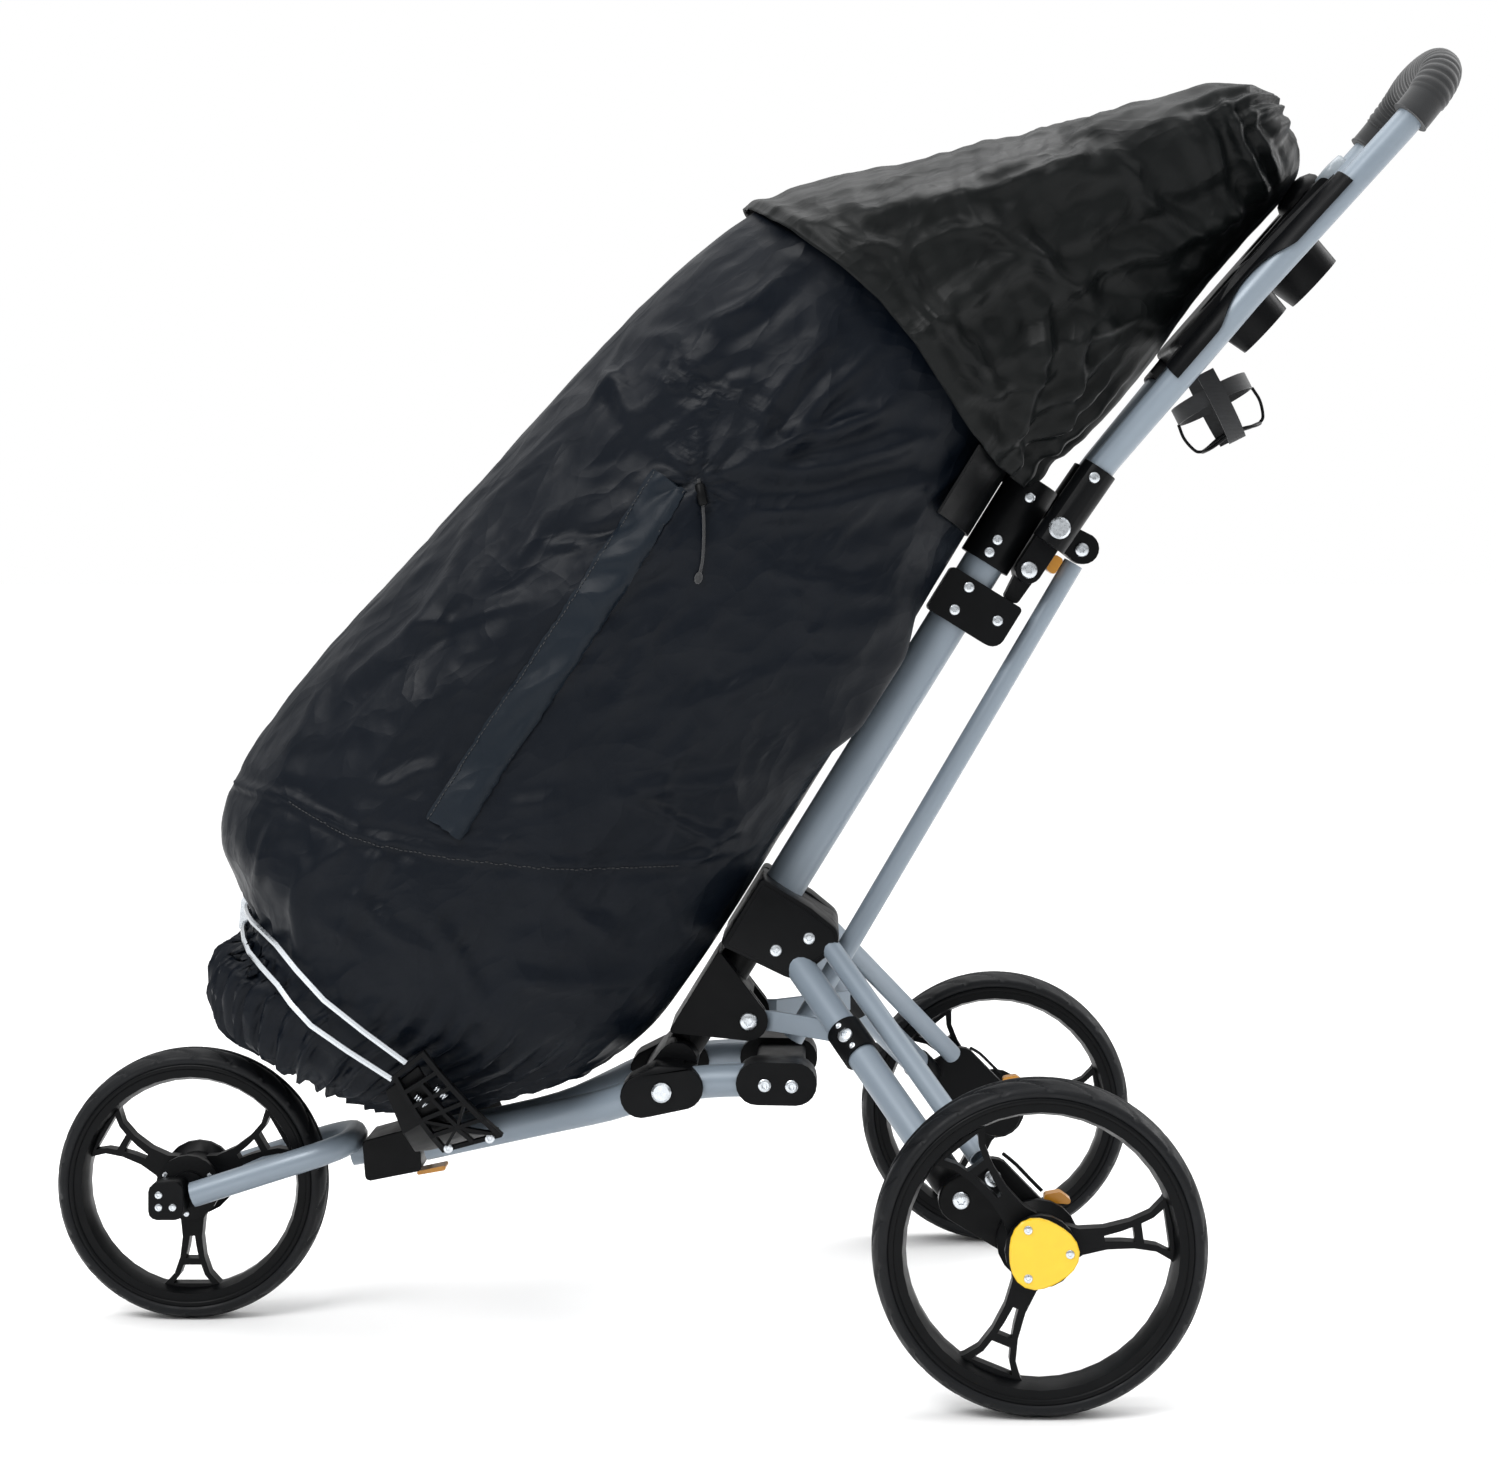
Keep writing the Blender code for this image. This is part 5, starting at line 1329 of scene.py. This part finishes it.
class CART_OT_rain_hood(bpy.types.Operator):
    """Makes the rain hood that closes the top of the cover"""
    bl_idname = "golf_cart.rain_hood"
    bl_label = "Rain hood"

    def execute(self, context):
        settings = context.scene.cart_cloth
        dense = cloth_grid(HOOD_STATIONS, 420, 240, 2.2)
        hem = np.array(HOOD_HEM)
        over = dense[..., 0] - np.interp(dense[..., 1], hem[:, 0], hem[:, 1])
        rows = 150
        grid = np.zeros((rows, dense.shape[1], 3))
        steps = np.arange(dense.shape[0])
        for k in range(dense.shape[1]):
            first = int(np.argmax(over[:, k] > 0))
            share = over[first - 1, k] / (over[first - 1, k] - over[first, k]) if first else 0.0
            at = np.linspace(max(0.0, first - 1 + share), dense.shape[0] - 1, rows)
            for axis in range(3):
                grid[:, k, axis] = np.interp(at, steps, dense[:, k, axis])
        place = to_row_frame(grid)
        along, behind, y = grid[..., 0], grid[..., 1], grid[..., 2]
        to_side = smoothstep(np.abs(y), 0.02, 0.07)
        near_folds = list(HOOD_FOLDS) + scattered_folds(15, 16, (0.68, 0.95), (-0.25, 0.00), 0.7)
        far_folds = list(HOOD_FOLDS[1::2]) + scattered_folds(18, 26, (0.66, 0.95), (-0.28, 0.00), 0.5)
        height = np.where(y < 0, pressed_folds(grid, near_folds), pressed_folds(grid, far_folds)) * to_side
        height += settings.crumple * 2.0 * crumple(place, 0.050, 43, stretch=0.3)
        height += settings.crumple * 1.2 * crumple(place, 0.024, 52)
        height += 0.0050 * crumple(place, 0.100, 61)
        angle = np.linspace(0, 2 * math.pi, grid.shape[1], endpoint=False)[None, :]
        end = smoothstep(along, 0.955, 1.02)
        height += end * 0.0030 * np.sin(angle * 17 + 1.5 * np.sin(angle * 3) + along * 30)
        tail = smoothstep(behind, -0.06, -0.01) * (1 - smoothstep(along, 0.70, 0.80))
        height += tail * 0.0050 * np.sin(angle * 34 + along * 20)
        lip = np.linspace(0, 1, rows)[:, None]
        height += 0.0026 * np.exp(-((lip - 0.03) / 0.018) ** 2) - 0.0016 * np.exp(-((lip - 0.07) / 0.02) ** 2)
        height *= 1 - 0.8 * smoothstep(behind, 0.0, 0.03) * (1 - to_side)
        place = place + outward(place) * height[..., None]
        hood = new_piece("hood_cloth", cloth_mesh("hood_cloth", place[::-1], settings.thickness, True),
                         FINISH_OF_SLOT["hood_cloth"], "bag", smooth=0)
        hood.data.shade_smooth()
        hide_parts("rain_hood")
        return {"FINISHED"}


# Stage


def softbox(name, place, target, size, power):
    light = bpy.data.lights.new(name, "AREA")
    light.shape = "RECTANGLE"
    light.size, light.size_y = size
    light.energy = power
    lamp = bpy.data.objects.new(name, light)
    lamp.location = place
    lamp.rotation_euler = (Vector(target) - Vector(place)).to_track_quat("-Z", "Y").to_euler()
    bpy.context.scene.collection.objects.link(lamp)


class CART_OT_stage(bpy.types.Operator):
    """Sets up the camera, the soft lights and a plain pale floor"""
    bl_idname = "golf_cart.stage"
    bl_label = "Stage"

    def execute(self, context):
        scene = context.scene
        settings = scene.cart_stage
        camera = bpy.data.cameras.new("side_camera")
        camera.sensor_width = 36.0
        camera.lens = settings.lens
        camera.shift_x, camera.shift_y = -0.0494, -0.1101
        camera.clip_end = 400.0
        stand = bpy.data.objects.new("side_camera", camera)
        stand.location = settings.camera_place
        stand.rotation_euler = (math.pi / 2, 0.0, 0.0)
        scene.collection.objects.link(stand)
        scene.camera = stand
        corners = [(-60, -60, 0), (60, -60, 0), (60, 120, 0), (-60, 120, 0)]
        floor = bpy.data.objects.new("floor", mesh_from("floor", corners, [(0, 1, 2, 3)], False))
        floor.data.materials.append(matt_floor())
        scene.collection.objects.link(floor)
        softbox("key_softbox", (-1.3, -2.0, 2.6), (0.0, 0.0, 0.55), (1.6, 1.2), settings.key_power)
        softbox("top_softbox", (0.4, 0.5, 3.0), (0.1, 0.0, 0.6), (2.4, 1.6), settings.key_power * 0.7)
        softbox("rim_softbox", (2.4, 1.2, 1.6), (0.1, 0.0, 0.5), (1.2, 1.6), settings.key_power * 0.5)
        world = bpy.data.worlds.new("pale_room")
        world.use_nodes = True
        tree = world.node_tree
        ground = tree.nodes["Background"]
        ground.inputs["Color"].default_value = (1.0, 1.0, 1.0, 1.0)
        # The backdrop is plain white, and the room's light falls mostly from above
        height = add(tree, "ShaderNodeSeparateXYZ", {0: add(tree, "ShaderNodeTexCoord").outputs["Generated"]})
        glow = add(tree, "ShaderNodeMapRange", {"Value": height.outputs["Z"], "From Min": -0.05,
                                                "From Max": 0.75, "To Min": 0.12, "To Max": 1.30})
        seen = add(tree, "ShaderNodeLightPath").outputs["Is Camera Ray"]
        share = add(tree, "ShaderNodeMix", {"Factor": seen, 2: glow.outputs[0], 3: 1.0})
        tree.links.new(share.outputs[0], ground.inputs["Strength"])
        scene.world = world
        scene.view_settings.view_transform = "Standard"
        return {"FINISHED"}


class CART_PT_panel(bpy.types.Panel):
    """Lists the settings and the pieces of the cart"""
    bl_label = "Golf push cart"
    bl_idname = "CART_PT_panel"
    bl_space_type = "VIEW_3D"
    bl_region_type = "UI"
    bl_category = "Golf Cart"

    def draw(self, context):
        for group in GROUPS:
            settings = getattr(context.scene, group)
            box = self.layout.box()
            for name in settings.bl_rna.properties.keys():
                if name not in ("rna_type", "name"):
                    box.prop(settings, name)
        for operator in OPERATORS:
            self.layout.operator(operator.bl_idname)


GROUPS = {"cart_finish": CartFinishSettings, "cart_wheels": CartWheelSettings,
          "cart_cloth": CartClothSettings, "cart_stage": CartStageSettings}
OPERATORS = (CART_OT_stage, CART_OT_rigid_parts, CART_OT_wheels, CART_OT_fasteners, CART_OT_handle,
             CART_OT_trim, CART_OT_rain_cover, CART_OT_rain_hood)


def register():
    for name, group in GROUPS.items():
        bpy.utils.register_class(group)
        setattr(bpy.types.Scene, name, PointerProperty(type=group))
    for operator in OPERATORS:
        bpy.utils.register_class(operator)
    bpy.utils.register_class(CART_PT_panel)


def unregister():
    bpy.utils.unregister_class(CART_PT_panel)
    for operator in reversed(OPERATORS):
        bpy.utils.unregister_class(operator)
    for name, group in GROUPS.items():
        delattr(bpy.types.Scene, name)
        bpy.utils.unregister_class(group)


def main():
    register()
    make_finishes(bpy.context.scene)
    for operator in OPERATORS:
        group, name = operator.bl_idname.split(".")
        getattr(getattr(bpy.ops, group), name)()


if __name__ == "__main__":
    main()
